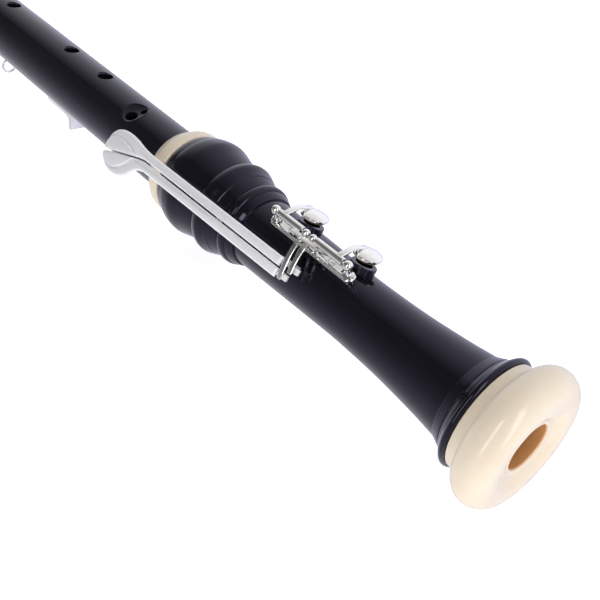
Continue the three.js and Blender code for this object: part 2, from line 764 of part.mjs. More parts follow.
function crossArm(root, tipAngle, tube, dir) {
  const outline = bandShape(hingeAngle - armRootTurn, tipAngle, armInnerRadius, armOuterRadius, 7);
  const band = crosswise(outline, root, armWidth, armBevel);
  const slant = new THREE.Matrix4().set(
    1, -armSlant, 0, armSlant * hingeY, 0, 1, 0, 0, 0, 0, 1, 0, 0, 0, 0, 1,
  );
  band.applyMatrix4(slant);
  const reachFrom = dir > 0 ? root - armWidth / 2 : tube[1] - armRootReach;
  const reachTo = dir > 0 ? tube[0] + armRootReach : root + armWidth / 2;
  const frame = standing(0, hingeAngle, hingeRadius);
  const side = innerBallRadius + seatGap;
  const half = armRootHeight / 2;
  const rootBar = placed(
    block(-reachTo, -reachFrom, -side - armRootDepth, -side, -half, half), frame,
  );
  const webFrom = dir > 0 ? tube[0] : tube[1] - armRootReach;
  const webTo = dir > 0 ? tube[0] + armRootReach : tube[1];
  const web = placed(block(-webTo, -webFrom, -side - armRootDepth / 2, 0, -half, half), frame);
  return join(solid(band), rootBar, web);
}

function padArm(place, cupPlace) {
  const seat = standing(cupPlace, cupAngle, chimneyTopRadius + padShutGap + padProud);
  const top = new THREE.Vector3(0, 0, cupDome).applyMatrix4(seat);
  const ridgeY = hingeY + (top.y - hingeY) * padArmRidgeShare;
  const ridgeZ = hingeZ + ridgeRise + keyTubeRadius * padArmHumpShare;
  const tips = padArmTopShares.map(([out, up]) => new THREE.Vector2(
    top.y + padArmThickness * out, top.z + padArmThickness * up,
  ));
  const [[ridgeIn, ridgeUnder], [rootIn, rootUnder]] = padArmUnderShares;
  const shape = new THREE.Shape([
    new THREE.Vector2(hingeY, hingeZ + keyTubeRadius),
    new THREE.Vector2(ridgeY, ridgeZ),
    ...tips,
    new THREE.Vector2(ridgeY + padArmThickness * ridgeIn, ridgeZ + padArmThickness * ridgeUnder),
    new THREE.Vector2(
      hingeY + keyTubeRadius * rootIn, hingeZ + keyTubeRadius + padArmThickness * rootUnder,
    ),
  ]);
  return solid(crosswise(shape, place, padArmWidth, armBevel * padArmBevelShare));
}

function cup(cupPlace) {
  const seat = standing(cupPlace, cupAngle, chimneyTopRadius + padShutGap + padProud);
  return placed(upright([
    [0, cupRecess], [padRadius + seatGap, cupRecess], [padRadius + seatGap, 0], [cupRadius, 0],
    ...cupDomeShares.map(([out, up]) => [cupRadius * out, cupBrim + (cupDome - cupBrim) * up]),
  ], 30), seat);
}

function pad(cupPlace) {
  const seat = standing(cupPlace, cupAngle, chimneyTopRadius + padShutGap + padProud);
  const low = -padProud;
  const high = cupRecess - seatGap;
  return placed(upright([
    [0, low],
    ...padEdgeShares.map(([out, up]) => [padRadius * out, low + (high - low) * up]),
    [0, high],
  ], 26), seat);
}

cups.forEach(({ name, cup: cupPlace, arm, opening }, i) => {
  const tube = keyTubes[i];
  const shut = join(padArm(arm, cupPlace), cup(cupPlace));
  const cross = i === 0
    ? crossArm(postStart - upperArmSpot, upperArmTipAngle, tube, 1)
    : crossArm(postStart - lowerArmSpot, lowerArmTipAngle, tube, -1);
  let key = join(onHinge(tube[0], tube[1], keyTubeRadius, 20), cross, opened(shut, opening));
  key = cut(key, onHinge(tube[0] - overrun * 4, tube[1] + overrun * 4, rodRadius + seatGap, 12));
  add(`${name}_key`, key, 'silver');
  add(`${name}_pad`, opened(pad(cupPlace), opening), 'pad');
});

// Key springs: a wire from the inner post's foot that bears on the tube from below
function keySpring(tube, dir) {
  const from = dir > 0 ? tube[0] + 2 * springRadius : tube[1] - 2 * springRadius;
  const length = (tube[1] - tube[0]) * springLengthShare;
  const low = plateTopRadius + springRadius + seatGap;
  const high = hingeRadius - keyTubeRadius - springRadius - seatGap;
  const points = springShares.map(([along, up]) => new THREE.Vector3().setFromMatrixPosition(
    standing(from + dir * length * along, hingeAngle, low + (high - low) * up),
  ));
  const section = new THREE.Shape();
  section.absarc(0, 0, springRadius, 0, Math.PI * 2, false);
  return solid(new THREE.ExtrudeGeometry(section, {
    steps: 10,
    curveSegments: springSides / 2,
    bevelEnabled: false,
    extrudePath: new THREE.CatmullRomCurve3(points),
  }));
}
add('upper_key_spring', keySpring(keyTubes[0], 1), 'steel');
add('lower_key_spring', keySpring(keyTubes[1], -1), 'steel');

// Long levers. In their frame X runs to the foot, Y round the bore and Z outwards,
// and the axle is the origin.
const leverFrame = standing(leverAxlePlace, leverAngle, axleRadial, leverSlope);
const leverTop = axleDrop + leverThickness;
const leverBottom = axleDrop;

function touchPoints(side) {
  const list = side > 0 ? touchOuterShares : lowTouchOuterShares;
  const outer = leverGap / 2 + leverWidth;
  return list.map(([along, across]) => new THREE.Vector2(
    -(barEnd + along * touchLength), side * (outer + across * touchWidth),
  ));
}

function leverOutline(side, barReach) {
  const inner = side * (leverGap / 2);
  const outer = side * (leverGap / 2 + leverWidth);
  const shape = new THREE.Shape();
  shape.moveTo(barReach, inner);
  shape.lineTo(barReach, outer);
  const rim = new THREE.SplineCurve(touchPoints(side)).getPoints(18);
  rim.forEach((point) => shape.lineTo(point.x, point.y));
  const tip = rim[rim.length - 1];
  const split = splitShares.map(([along, kick]) => new THREE.Vector2(
    -(barEnd + along * touchLength), inner - kick * touchKick,
  ));
  shape.lineTo(tip.x + touchLength * touchTipShare, (tip.y + split[0].y) / 2);
  split.forEach((point) => shape.lineTo(point.x, point.y));
  return shape;
}

function leafOutline(side) {
  const rim = new THREE.SplineCurve(touchPoints(side)).getPoints(14).slice(leafSkip);
  const [start, centre] = leafShares.map(([along, kick]) => new THREE.Vector2(
    -(barEnd + along * touchLength), side * leverGap - kick * touchKick,
  ));
  const shape = new THREE.Shape([
    start, ...rim.map((point) => centre.clone().lerp(point, leafInsetShare)), centre,
  ]);
  return shape;
}

function lever(side, barReach, reach, dips) {
  const plan = placed(bevelled(
    leverOutline(side, barReach), leverTop, leverThickness, leverBevel, leverBevelSide,
  ), leverFrame);
  const leaf = placed(bevelled(
    leafOutline(side), leverTop + leafRise, leafRise + leverBevel, leafBevel,
  ), leverFrame);
  const inner = side > 0 ? tongueOffset - tongueWidth / 2 : -tongueOffset - tongueWidth / 2;
  const top = leverBottom - tongueDrop;
  const dipTop = dips ? top - tongueDip : top;
  const step = barReach;
  const points = [
    [tongueStart, leverBottom + leverBevel],
    [step - tongueRamp, leverBottom + leverBevel],
    [step - tongueRamp, top],
    [step, dipTop],
    ...(dips ? [[tongueDipEnd, dipTop], [tongueDipEnd + tongueRamp, top]] : []),
    [reach, top],
    [reach, top - tongueThickness],
    ...(dips ? [
      [tongueDipEnd + tongueRamp * 2, top - tongueThickness],
      [tongueDipEnd + tongueRamp, dipTop - tongueThickness],
    ] : []),
    [step - tongueRamp, dipTop - tongueThickness],
    [tongueStart, leverBottom - seatGap],
  ];
  const tongue = placed(lengthwise(points, inner, inner + tongueWidth), leverFrame);
  const lugFrom = pillarHeadWidth / 2 + seatGap;
  const lugLow = side > 0 ? lugFrom : -lugFrom - lugThickness;
  const lugPoints = [[-lugRadius, leverBottom + leverBevel]];
  const lugSteps = 10;
  for (let i = 0; i <= lugSteps; i += 1) {
    const turn = Math.PI * (i / lugSteps);
    lugPoints.push([-lugRadius * Math.cos(turn), -lugRadius * Math.sin(turn)]);
  }
  lugPoints.push([lugRadius, leverBottom + leverBevel]);
  const lug = placed(lengthwise(lugPoints, lugLow, lugLow + lugThickness), leverFrame);
  const hole = placed(new THREE.CylinderGeometry(
    axleRadius + seatGap, axleRadius + seatGap, 4 * leverWidth, 12,
  ), leverFrame);
  return cut(join(plan, leaf, tongue, lug), hole);
}
add('lever_a', lever(1, lowerLeverReach, lowerTongueReach, true), 'silver');
add('lever_b', lever(-1, upperLeverReach, upperTongueReach, false), 'silver');

// Axle and pillar of the levers
const axleHalf = pillarHeadWidth / 2 + seatGap + lugThickness + seatGap;
add('lever_axle', placed(
  new THREE.CylinderGeometry(axleRadius, axleRadius, 2 * axleHalf, 12), leverFrame,
), 'steel');
const pillarHead = placed(new THREE.CylinderGeometry(
  pillarHeadRadius, pillarHeadRadius, pillarHeadWidth, 20,
), leverFrame);
const pillarBase = standing(leverAxlePlace, leverAngle, 0);
const pillarShaft = placed(
  drum(pillarRadius, collarBeadRadius - pillarDepth, axleRadial - lugRadius - seatGap, 12), pillarBase,
);
const pillarNeck = placed(block(
  -pillarRadius, pillarRadius, -pillarHeadWidth / 2, pillarHeadWidth / 2,
  axleRadial - lugRadius - 2 * seatGap, axleRadial,
), pillarBase);
add('lever_pillar', cut(join(pillarHead, pillarShaft, pillarNeck), placed(new THREE.CylinderGeometry(
  axleRadius + seatGap, axleRadius + seatGap, 2 * pillarHeadWidth, 12,
), leverFrame)), 'silver');

// Felt stops under the levers
function leverFelt(side) {
  const centre = side * feltOffset;
  const body = placed(block(
    feltPlace - feltLength / 2, feltPlace + feltLength / 2, centre - feltWidth / 2, centre + feltWidth / 2,
    leverBottom - axleRadial, leverBottom - seatGap,
  ), leverFrame);
  return cut(body, footSkin(seatGap));
}
const felts = [['lever_a_felt', leverFelt(1)], ['lever_b_felt', leverFelt(-1)]];
felts.forEach(([name, body]) => {
  const outside = body.decompose().reduce((best, piece) => (
    piece.boundingBox().max[2] > best.boundingBox().max[2] ? piece : best
  ));
  add(name, outside, 'felt');
});

// Middle joint
function tenonCork(start, length, dir, radius) {
  const from = start + dir * corkInset;
  const to = start + dir * (corkInset + corkLength);
  return { from: Math.min(from, to), to: Math.max(from, to), radius, length };
}
const lowCork = tenonCork(middleStart, lowTenonLength, -1, lowTenonRadius);
const highCork = tenonCork(middleEnd, highTenonLength, 1, highTenonRadius);
let middle = turned([
  [middleStart - lowTenonLength, middleLowBoreRadius],
  [middleStart - lowTenonLength, lowTenonRadius - ringEdge],
  [middleStart - lowTenonLength + ringEdge, lowTenonRadius],
  [lowCork.from, lowTenonRadius],
  [lowCork.from, lowTenonRadius - corkDepth],
  [lowCork.to, lowTenonRadius - corkDepth],
  [lowCork.to, lowTenonRadius],
  [middleStart, lowTenonRadius],
  [middleStart, middleRadius],
  [middleStart + middleLength * middleTaperShare, middleRadius],
  [middleEnd, middleTopRadius],
  [middleEnd, highTenonRadius],
  [highCork.from, highTenonRadius],
  [highCork.from, highTenonRadius - corkDepth],
  [highCork.to, highTenonRadius - corkDepth],
  [highCork.to, highTenonRadius],
  [middleEnd + highTenonLength - ringEdge, highTenonRadius],
  [middleEnd + highTenonLength, highTenonRadius - ringEdge],
  [middleEnd + highTenonLength, middleHighBoreRadius],
]);
const reach = middleTopRadius + overrun;
const recessFrame = standing(doubleHolePlace, doubleHoleAngle, 0);

// The double hole's shallow dish, bent so that its rim follows the joint's round outside
function dish() {
  const geometry = upright([
    ...dishShares.map(([out, down]) => [doubleDishRadius * out, middleRadius - doubleDishDepth * down]),
    [doubleDishRadius, reach], [0, reach],
  ], 26);
  const points = geometry.getAttribute('position');
  for (let i = 0; i < points.count; i += 1) {
    const drop = middleRadius - Math.sqrt(middleRadius ** 2 - points.getY(i) ** 2);
    points.setZ(i, points.getZ(i) - drop);
  }
  return geometry;
}
const doubleHole = [
  dish(),
  drum(bigHoleRadius, 0, reach, 18).translate(...bigHolePlace, 0),
  drum(smallHoleRadius, 0, reach, 16).translate(...smallHolePlace, 0),
];
middle = cut(middle, ...doubleHole.map((tool) => placed(tool, recessFrame)));
const fingerHole = (radius) => upright([
  [0, 0], [radius, 0], [radius, middleRadius - fingerHoleChamfer * holeFlareShare],
  [radius + fingerHoleChamfer, middleRadius], [radius + fingerHoleChamfer, reach], [0, reach],
], 20);
for (const spot of fingerHoleSpots) {
  middle = cut(middle, placed(fingerHole(fingerHoleRadius), standing(middleStart + spot, 0, 0)));
}
middle = cut(middle, placed(fingerHole(thumbHoleRadius), standing(middleStart + thumbHoleSpot, 180, 0)));
const backScrews = [
  ...restScrewShares.map((share) => restPlace + restLength * share),
  ...strapScrewShares.map((share) => strapPlace + strapPlateLength * share),
];
const restTop = middleTopRadius + restPlateRise;
const strapTop = middleTopRadius + strapPlateRise;
backScrews.forEach((place, i) => {
  const top = i < 2 ? restTop : strapTop;
  middle = cut(middle, placed(
    drum(screwShankRadius + seatGap, top - screwLength - seatGap, reach, 10), standing(place, 180, 0),
  ));
});
add('middle_joint', middle, 'black');
for (const [name, cork] of [['lower_tenon_cork', lowCork], ['upper_tenon_cork', highCork]]) {
  add(name, turned([
    [cork.from + seatGap, cork.radius - corkDepth + seatGap],
    [cork.to - seatGap, cork.radius - corkDepth + seatGap],
    [cork.to - seatGap, cork.radius + corkProud],
    [cork.from + seatGap, cork.radius + corkProud],
  ], 32), 'cork');
}

// Plates on the back of the middle joint, hollowed to lie on it
const middleSkin = turned([
  [middleStart, 0],
  [middleStart, middleRadius + seatGap],
  [middleStart + middleLength * middleTaperShare, middleRadius + seatGap],
  [middleEnd, middleTopRadius + seatGap],
  [middleEnd, 0],
]);
const sinkTool = (place, top) => placed(upright([
  [0, top + overrun], [screwHeadRadius + seatGap, top + overrun],
  [screwHeadRadius + seatGap, top - screwHeadHeight - seatGap],
  [screwShankRadius + seatGap, top - screwHeadHeight - seatGap], [screwShankRadius + seatGap, 0], [0, 0],
]), standing(place, 180, 0));

const restFrame = standing(restPlace, 180, 0);
const hookFoot = restLength / 2;
const plateBottom = middleRadius * plateBuryShare;
const [[hookRootIn, hookRootUp], [hookTipIn]] = hookShares;
const restPoints = [
  [-hookFoot, plateBottom],
  [-hookFoot, restTop],
  [hookFoot - restHookRise, restTop],
  [hookFoot + restHookThickness * hookRootIn, restTop + restHookThickness * hookRootUp],
  [hookFoot + restHookThickness * hookTipIn, restTop + restHookRise],
  [hookFoot, restTop + restHookRise],
  [hookFoot, plateBottom],
];
let rest = placed(lengthwise(restPoints, -restWidth / 2, restWidth / 2), restFrame);
rest = cut(rest, middleSkin, sinkTool(backScrews[0], restTop), sinkTool(backScrews[1], restTop));
add('thumb_rest', rest, 'silver');
add('thumb_rest_screw_1', screw(backScrews[0], 180, restTop), 'silver');
add('thumb_rest_screw_2', screw(backScrews[1], 180, restTop), 'silver');

const strapFrame = standing(strapPlace, 180, 0);
const lugCentre = strapTop + strapLugRadius * strapLugRiseShare;
const strapLug = new THREE.CylinderGeometry(strapLugRadius, strapLugRadius, strapLugWidth, 18);
let strapPlate = placed(block(
  -strapPlateLength / 2, strapPlateLength / 2, -strapPlateWidth / 2, strapPlateWidth / 2,
  plateBottom, strapTop,
), strapFrame);
strapPlate = join(strapPlate, placed(strapLug.translate(0, 0, lugCentre), strapFrame));
const strapHole = placed(new THREE.CylinderGeometry(
  strapHoleRadius, strapHoleRadius, strapLugWidth * 2, 14,
).translate(0, 0, lugCentre), strapFrame);
const strapSinks = backScrews.slice(2).map((place) => sinkTool(place, strapTop));
strapPlate = cut(strapPlate, middleSkin, strapHole, ...strapSinks);
add('strap_plate', strapPlate, 'silver');
add('strap_plate_screw_1', screw(backScrews[2], 180, strapTop), 'silver');
add('strap_plate_screw_2', screw(backScrews[3], 180, strapTop), 'silver');
add('strap_ring', placed(
  new THREE.TorusGeometry(strapRingRadius, strapWireRadius, 6, 18)
    .rotateX(Math.PI / 2).rotateZ(Math.PI / 2).translate(0, 0, lugCentre + strapRingRadius),
  strapFrame,
), 'silver');

// Head joint
const headSocketRadius = highTenonRadius + tenonClearance;
const headSeatRadius = headSocketRadius + ringSeatWall;
const headRingSeat = headStart + ringSeatLength;
const headBulbStart = headRingSeat + ringGrooveLength;
const headBulbLength = bulbLength;
const headBeadStart = headBulbStart + headBulbLength + grooveWidth;
const headBeadLength = collarBeadLength;
const headLedge = headSeatRadius + ringWall - ringEdge;
const headGroove = headTubeRadius + grooveDepth;
const headBeadRadius = headTubeRadius + headBeadRise;
const headNeckStart = headBeadStart + headBeadLength;
const sealFrom = capStart + (capTenonLength - sealLength) / 2;
const sealTo = sealFrom + sealLength;
let head = turned([
  [headStart, headSocketRadius],
  [headStart, headSeatRadius],
  [headRingSeat, headSeatRadius],
  [headRingSeat, headLedge - grooveDepth],
  [headBulbStart - seatGap, headLedge - grooveDepth],
  ...shares(bulbRiseShares, headBulbStart, headBulbLength, headLedge, headBulbRadius),
  ...shares(bulbFallShares, headBulbStart, headBulbLength, headBeadRadius, headBulbRadius),
  [headBeadStart - grooveWidth / 2, headGroove],
  ...beadPoints(headBeadStart, headBeadLength, headGroove, headBeadRadius, 5),
  [headNeckStart + grooveWidth, headTubeRadius],
  [capStart - seatGap, headTubeRadius],
  [capStart - seatGap, capTenonRadius],
  [sealFrom, capTenonRadius],
  [sealFrom, capTenonRadius - sealDepth],
  [sealTo, capTenonRadius - sealDepth],
  [sealTo, capTenonRadius],
  [headEnd, capTenonRadius],
  [headEnd, headBoreRadius],
  [headSocketFloor, headBoreRadius],
  [headSocketFloor, headSocketRadius],
]);
const windwayFloor = headBoreRadius * windwayFloorShare;
const windwayRoof = windwayFloor + windwayHeight;
const windowHigh = windowLow + cutUp;
const topFrame = standing(0, 0, 0);
head = cut(head, placed(lengthwise([
  [-windowHigh, 0],
  [-windowHigh, headTubeRadius + overrun],
  [-windowLow + rampLength, headTubeRadius + overrun],
  [-windowLow + rampLength, headTubeRadius],
  [-windowLow, windwayFloor + lipHeight],
  [-windowLow, 0],
], -windowWidth / 2, windowWidth / 2), topFrame));
head = cut(head, placed(block(
  -headEnd - overrun, -windowHigh + overrun, -windwayWidth / 2, windwayWidth / 2, 0, windwayRoof,
), topFrame));
add('head_joint', head, 'black');
add('head_socket_ring', socketRing(
  headRingSeat, headStart, -1, headSeatRadius, middleTopRadius + tenonClearance,
), 'cream');
add('windway_block', cut(
  rod(blockStart, headEnd, headBoreRadius - seatGap),
  placed(block(-headEnd - overrun, -blockStart + overrun, -headBoreRadius, headBoreRadius,
    windwayFloor - seatGap, headBoreRadius + overrun), topFrame),
), 'cream');
add('cap_seal', turned([
  [sealFrom + seatGap, capTenonRadius - sealDepth + seatGap],
  [sealTo - seatGap, capTenonRadius - sealDepth + seatGap],
  [sealTo - seatGap, capTenonRadius + corkProud],
  [sealFrom + seatGap, capTenonRadius + corkProud],
], 32), 'cork');

// Cap, its ring and the crook's ferrule
const capSocketRadius = capTenonRadius + tenonClearance;
const capSpigotRadius = capSocketRadius + capRingWall;
const capOuter = capSocketRadius + capWall;
const ferruleBore = crookRadius + 2 * seatGap + ferruleWall * ferruleBoreShare;
const ferruleRadius = ferruleBore + ferruleWall * (1 - ferruleBoreShare);
add('head_cap', turned([
  [capStart, capSocketRadius],
  [capStart, capSpigotRadius],
  [capStart + capRingLength, capSpigotRadius],
  [capStart + capRingLength, capOuter - ringEdge],
  [capStart + capRingLength + ringEdge, capOuter],
  ...shares(capTopShares, headEnd, capChamberLength, capOuter, capOuter + grooveDepth),
  ...shares(capEndShares, headEnd + capChamberLength, capEndWall, capOuter, capOuter - capWall),
  [capEnd, ferruleRadius + capWall],
  [capEnd, ferruleRadius + seatGap],
  [headEnd + capChamberLength, ferruleRadius + seatGap],
  [headEnd + capChamberLength, capChamberRadius],
  [headEnd + seatGap, capChamberRadius],
  [headEnd + seatGap, capSocketRadius],
]), 'black');
add('cap_ring', turned([
  [capStart, capSpigotRadius + seatGap],
  ...shares(capRingShares, capStart, capRingLength, capOuter, capOuter + capRingProud),
  [capStart + capRingLength - seatGap, capOuter],
  [capStart + capRingLength - seatGap, capSpigotRadius + seatGap],
]), 'cream');
add('crook_ferrule', turned([
  [capEnd - ferruleSpigot, ferruleBore],
  [capEnd - ferruleSpigot, ferruleRadius],
  [capEnd + seatGap, ferruleRadius],
  [capEnd + seatGap, ferruleRadius + ferruleWall * ferruleLipShares[0][1]],
  ...shares(ferruleLipShares, capEnd, ferruleLength, ferruleRadius, ferruleRadius + ferruleWall),
  [capEnd + ferruleLength, ferruleRadius],
  [capEnd + ferruleLength, ferruleBore],
], 24), 'silver');

// Crook: out of the cap, round a bend to one side, and down until its tip meets the floor
const bendEnd = radians(crookTurn);
const bendPoint = (turn) => [
  capEnd + crookStraight + crookBend * Math.sin(turn), crookBend * (1 - Math.cos(turn)),
];
const crookDirection = [Math.cos(bendEnd), Math.sin(bendEnd)];
const crookEnd = [
  bendPoint(bendEnd)[0] + crookReach * crookDirection[0],
  bendPoint(bendEnd)[1] + crookReach * crookDirection[1],
];
const mouthFar = crookReach - mouthSocket + mouthLength;
const tipOut = bendPoint(bendEnd)[1] + mouthFar * crookDirection[1];
const crookDrop = Math.asin((donutRadius - mouthTipRadius) / tipOut);
const crookSide = (place, out) => new THREE.Vector3(
  -place, -out * Math.cos(crookDrop), -out * Math.sin(crookDrop),
);
const crookStart = headEnd + capChamberLength + seatGap;
const bendSteps = 11;

// A tube swept through rings of points, with its bore
function sweptTube(points, radius, bore, sides) {
  const rings = points.map((point, i) => {
    const before = points[Math.max(0, i - 1)];
    const after = points[Math.min(points.length - 1, i + 1)];
    const ahead = after.clone().sub(before).normalize();
    const side = new THREE.Vector3(0, Math.sin(crookDrop), -Math.cos(crookDrop));
    const across = ahead.clone().cross(side).normalize();
    const ring = (size) => Array.from({ length: sides }, (unused, k) => {
      const turn = (2 * Math.PI * k) / sides;
      return point.clone().addScaledVector(side, size * Math.cos(turn))
        .addScaledVector(across, size * Math.sin(turn));
    });
    return [ring(radius), ring(bore)];
  });
  const positions = rings.flat(2).flatMap((point) => point.toArray());
  const corner = (i, layer, k) => (i * 2 + layer) * sides + (k % sides);
  const faces = [];
  const quad = (a, b, c, d) => faces.push(a, b, c, a, c, d);
  for (let k = 0; k < sides; k += 1) {
    for (let i = 0; i + 1 < rings.length; i += 1) {
      quad(corner(i, 0, k), corner(i + 1, 0, k), corner(i + 1, 0, k + 1), corner(i, 0, k + 1));
      quad(corner(i, 1, k + 1), corner(i + 1, 1, k + 1), corner(i + 1, 1, k), corner(i, 1, k));
    }
    const last = rings.length - 1;
    quad(corner(0, 1, k), corner(0, 0, k), corner(0, 0, k + 1), corner(0, 1, k + 1));
    quad(corner(last, 0, k), corner(last, 1, k), corner(last, 1, k + 1), corner(last, 0, k + 1));
  }
  const geometry = new THREE.BufferGeometry();
  geometry.setAttribute('position', new THREE.Float32BufferAttribute(positions, 3));
  geometry.setIndex(faces);
  return solid(geometry);
}
const crookPoints = [
  crookSide(crookStart, 0),
  ...Array.from({ length: bendSteps + 1 }, (unused, i) => (
    crookSide(...bendPoint((bendEnd * i) / bendSteps))
  )),
  crookSide(...crookEnd),
];
add('crook_tube', sweptTube(crookPoints, crookRadius, crookBoreRadius, 12), 'silver');
add('crook_cork', turned([
  [crookStart + 2 * seatGap, crookRadius + seatGap],
  [crookStart + 2 * seatGap + crookCorkLength, crookRadius + seatGap],
  [crookStart + 2 * seatGap + crookCorkLength, ferruleBore - seatGap],
  [crookStart + 2 * seatGap, ferruleBore - seatGap],
], 20), 'cork');

// Mouthpiece, turned about the crook's last straight
const mouthAlong = crookSide(...crookEnd).sub(crookSide(...bendPoint(bendEnd))).normalize();
const mouthSide = new THREE.Vector3(0, Math.sin(crookDrop), -Math.cos(crookDrop));
const mouthFrame = new THREE.Matrix4().makeBasis(
  mouthSide, mouthAlong.clone().cross(mouthSide), mouthAlong,
).setPosition(crookSide(...crookEnd));
const mouthTip = mouthLength - mouthSocket;
add('crook_mouthpiece', placed(upright([
  [crookRadius + seatGap, -mouthSocket],
  ...mouthRootShares.map(([along, out]) => [mouthRootRadius * out, mouthSocket * along]),
  ...mouthTipShares.map(([along, out]) => [mouthTipRadius * out, mouthTip * along]),
  [mouthBoreRadius, mouthTip],
  [mouthBoreRadius, seatGap],
  [crookRadius + seatGap, seatGap],
], 24), mouthFrame), 'cream');

// The whole stands on its underside, centred over the origin
const group = new THREE.Group();
group.name = 'bass_recorder';
const box = new THREE.Box3();
const made = nodes.map(({ name, body, paint }) => {
  const geometry = toGeometry(body);
  geometry.computeBoundingBox();
  box.union(geometry.boundingBox);
  return { name, geometry, paint };
});
const middleOfBox = box.getCenter(new THREE.Vector3());
for (const { name, geometry, paint } of made) {
  geometry.translate(-middleOfBox.x, -middleOfBox.y, -box.min.z);
  const look = new THREE.MeshStandardMaterial(paints[paint]);
  look.name = paint;
  const mesh = new THREE.Mesh(geometry, look);
  mesh.name = name;
  group.add(mesh);
}

export default group;
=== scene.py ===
import json
from math import acos, asin, copysign, cos, degrees, pi, radians, sin, sqrt

import bmesh
import bpy
from mathutils import Matrix, Vector


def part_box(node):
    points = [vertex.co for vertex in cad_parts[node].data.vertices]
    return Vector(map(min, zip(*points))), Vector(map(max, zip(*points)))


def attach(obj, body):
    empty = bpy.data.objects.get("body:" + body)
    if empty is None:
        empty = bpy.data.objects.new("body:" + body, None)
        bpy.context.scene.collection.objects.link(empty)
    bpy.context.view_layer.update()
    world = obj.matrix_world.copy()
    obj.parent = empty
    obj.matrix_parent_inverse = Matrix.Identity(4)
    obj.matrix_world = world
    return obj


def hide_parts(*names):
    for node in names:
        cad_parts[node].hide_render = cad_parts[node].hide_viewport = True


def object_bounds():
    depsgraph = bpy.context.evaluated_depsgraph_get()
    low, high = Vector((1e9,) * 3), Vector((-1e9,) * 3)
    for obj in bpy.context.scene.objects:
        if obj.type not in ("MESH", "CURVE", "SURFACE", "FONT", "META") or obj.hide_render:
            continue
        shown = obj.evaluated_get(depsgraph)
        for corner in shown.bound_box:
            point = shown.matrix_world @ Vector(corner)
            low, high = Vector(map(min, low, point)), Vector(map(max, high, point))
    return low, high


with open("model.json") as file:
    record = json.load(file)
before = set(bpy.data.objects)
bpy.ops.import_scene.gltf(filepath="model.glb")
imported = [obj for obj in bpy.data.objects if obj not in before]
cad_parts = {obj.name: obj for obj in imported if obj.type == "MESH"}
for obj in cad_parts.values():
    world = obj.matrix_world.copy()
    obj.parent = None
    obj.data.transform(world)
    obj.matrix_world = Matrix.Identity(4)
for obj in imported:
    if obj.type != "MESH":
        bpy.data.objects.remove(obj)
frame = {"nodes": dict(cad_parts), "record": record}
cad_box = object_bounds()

# Sizes are in millimetres, as in the solids. Places are distances from the foot's face towards
# the head, and angles round the bore are from straight up, positive towards +Y.
MM = 0.001
GAP = 0.3
OVERRUN = 3
STRETCH_STEP = 4
SHARP = radians(32)
LEVEL = 0.99
WELD = 0.0005
EASE_STEPS = 3
EASE_ROOM = 2.2
BEVEL = {"segments": 2, "profile": 0.5, "affect": "EDGES", "clamp_overlap": True}

# How far rounded edges reach, from crisp to round
CRISP_EDGE = 0.08
FINE_EDGE = 0.1
SLIGHT_EDGE = 0.12
EASY_EDGE = 0.15
SOFT_EDGE = 0.2
ROUND_EDGE = 0.3
GRIP_EDGE = 0.4
PAD_EDGE = 0.45
HOOK_EDGE = 1

# Sides of round forms, and steps along their outlines
END_ROUND = 200
ROUND = 160
RIM_ROUND = 96
WIDE_ROUND = 72
HOLE_ROUND = 64
SMALL_HOLE_ROUND = 56
SMALL_ROUND = 48
PIN_ROUND = 32
PILOT_ROUND = 20
FLOW_STEPS = 5
NECK_STEPS = 8
BAND_STEPS = 2
ARC_STEPS = 20
CREST_STEPS = 24
DISH_STEPS = 18
BALL_STEPS = 18
FOOT_BEAD_STEPS = 15
HEAD_BEAD_STEPS = 14
BEND_STEPS = 48

# Bore and end ring
BORE = 12
FOOT_UPPER_BORE = 12.4
MIDDLE_LOW_BORE = 12.9
MIDDLE_HIGH_BORE = 14.3
HEAD_BORE = 15.2
DONUT_RADIUS = 36.2
DONUT_CREST = 2.9
DONUT_CREST_RADIUS = 25.5
DONUT_CREST_WIDTH = 3
DONUT_FRONT = 7
DONUT_BACK = 9.4
DONUT_BACK_RADIUS = 28.9
DONUT_BACK_SHARE = 0.25
LIP_RADIUS = 14.4
LIP_RISE = 0.5
BORE_CHAMFER = 0.8
END_NECK_RADIUS = 27.9
END_NECK_LENGTH = 5.3
SPIGOT_RADIUS = 15.6
SPIGOT_LENGTH = 24

# Foot joint
FLANGE_LENGTH = 7
FLANGE_EDGE_RADIUS = 25
FLANGE_RADIUS = 29.3
BAND_LENGTH = 5.2
BAND_EDGE_RADIUS = 22.9
BAND_RADIUS = 24.9
NECK_LENGTH = 143.1
LOW_BEAD_LENGTH = 4.9
COLLAR_BEAD_LENGTH = 5.7
GROOVE_WIDTH = 0.6
GROOVE_DEPTH = 0.7
BIG_BEAD_LENGTH = 17.3
BULB_LENGTH = 31.2
RING_GROOVE_LENGTH = 1.5
RING_GROOVE_RADIUS = 23.3
NECK_TOP = 22.6
NECK_WAIST = 17.95
NECK_END = 19.45
LOW_BEAD_START_RADIUS = 20.4
LOW_BEAD_RADIUS = 22.2
COLLAR_BEAD_RADIUS = 23.6
BIG_BEAD_START_RADIUS = 22.3
BIG_BEAD_RADIUS = 27.1
BULB_START_RADIUS = 23.5
BULB_RADIUS = 28.4

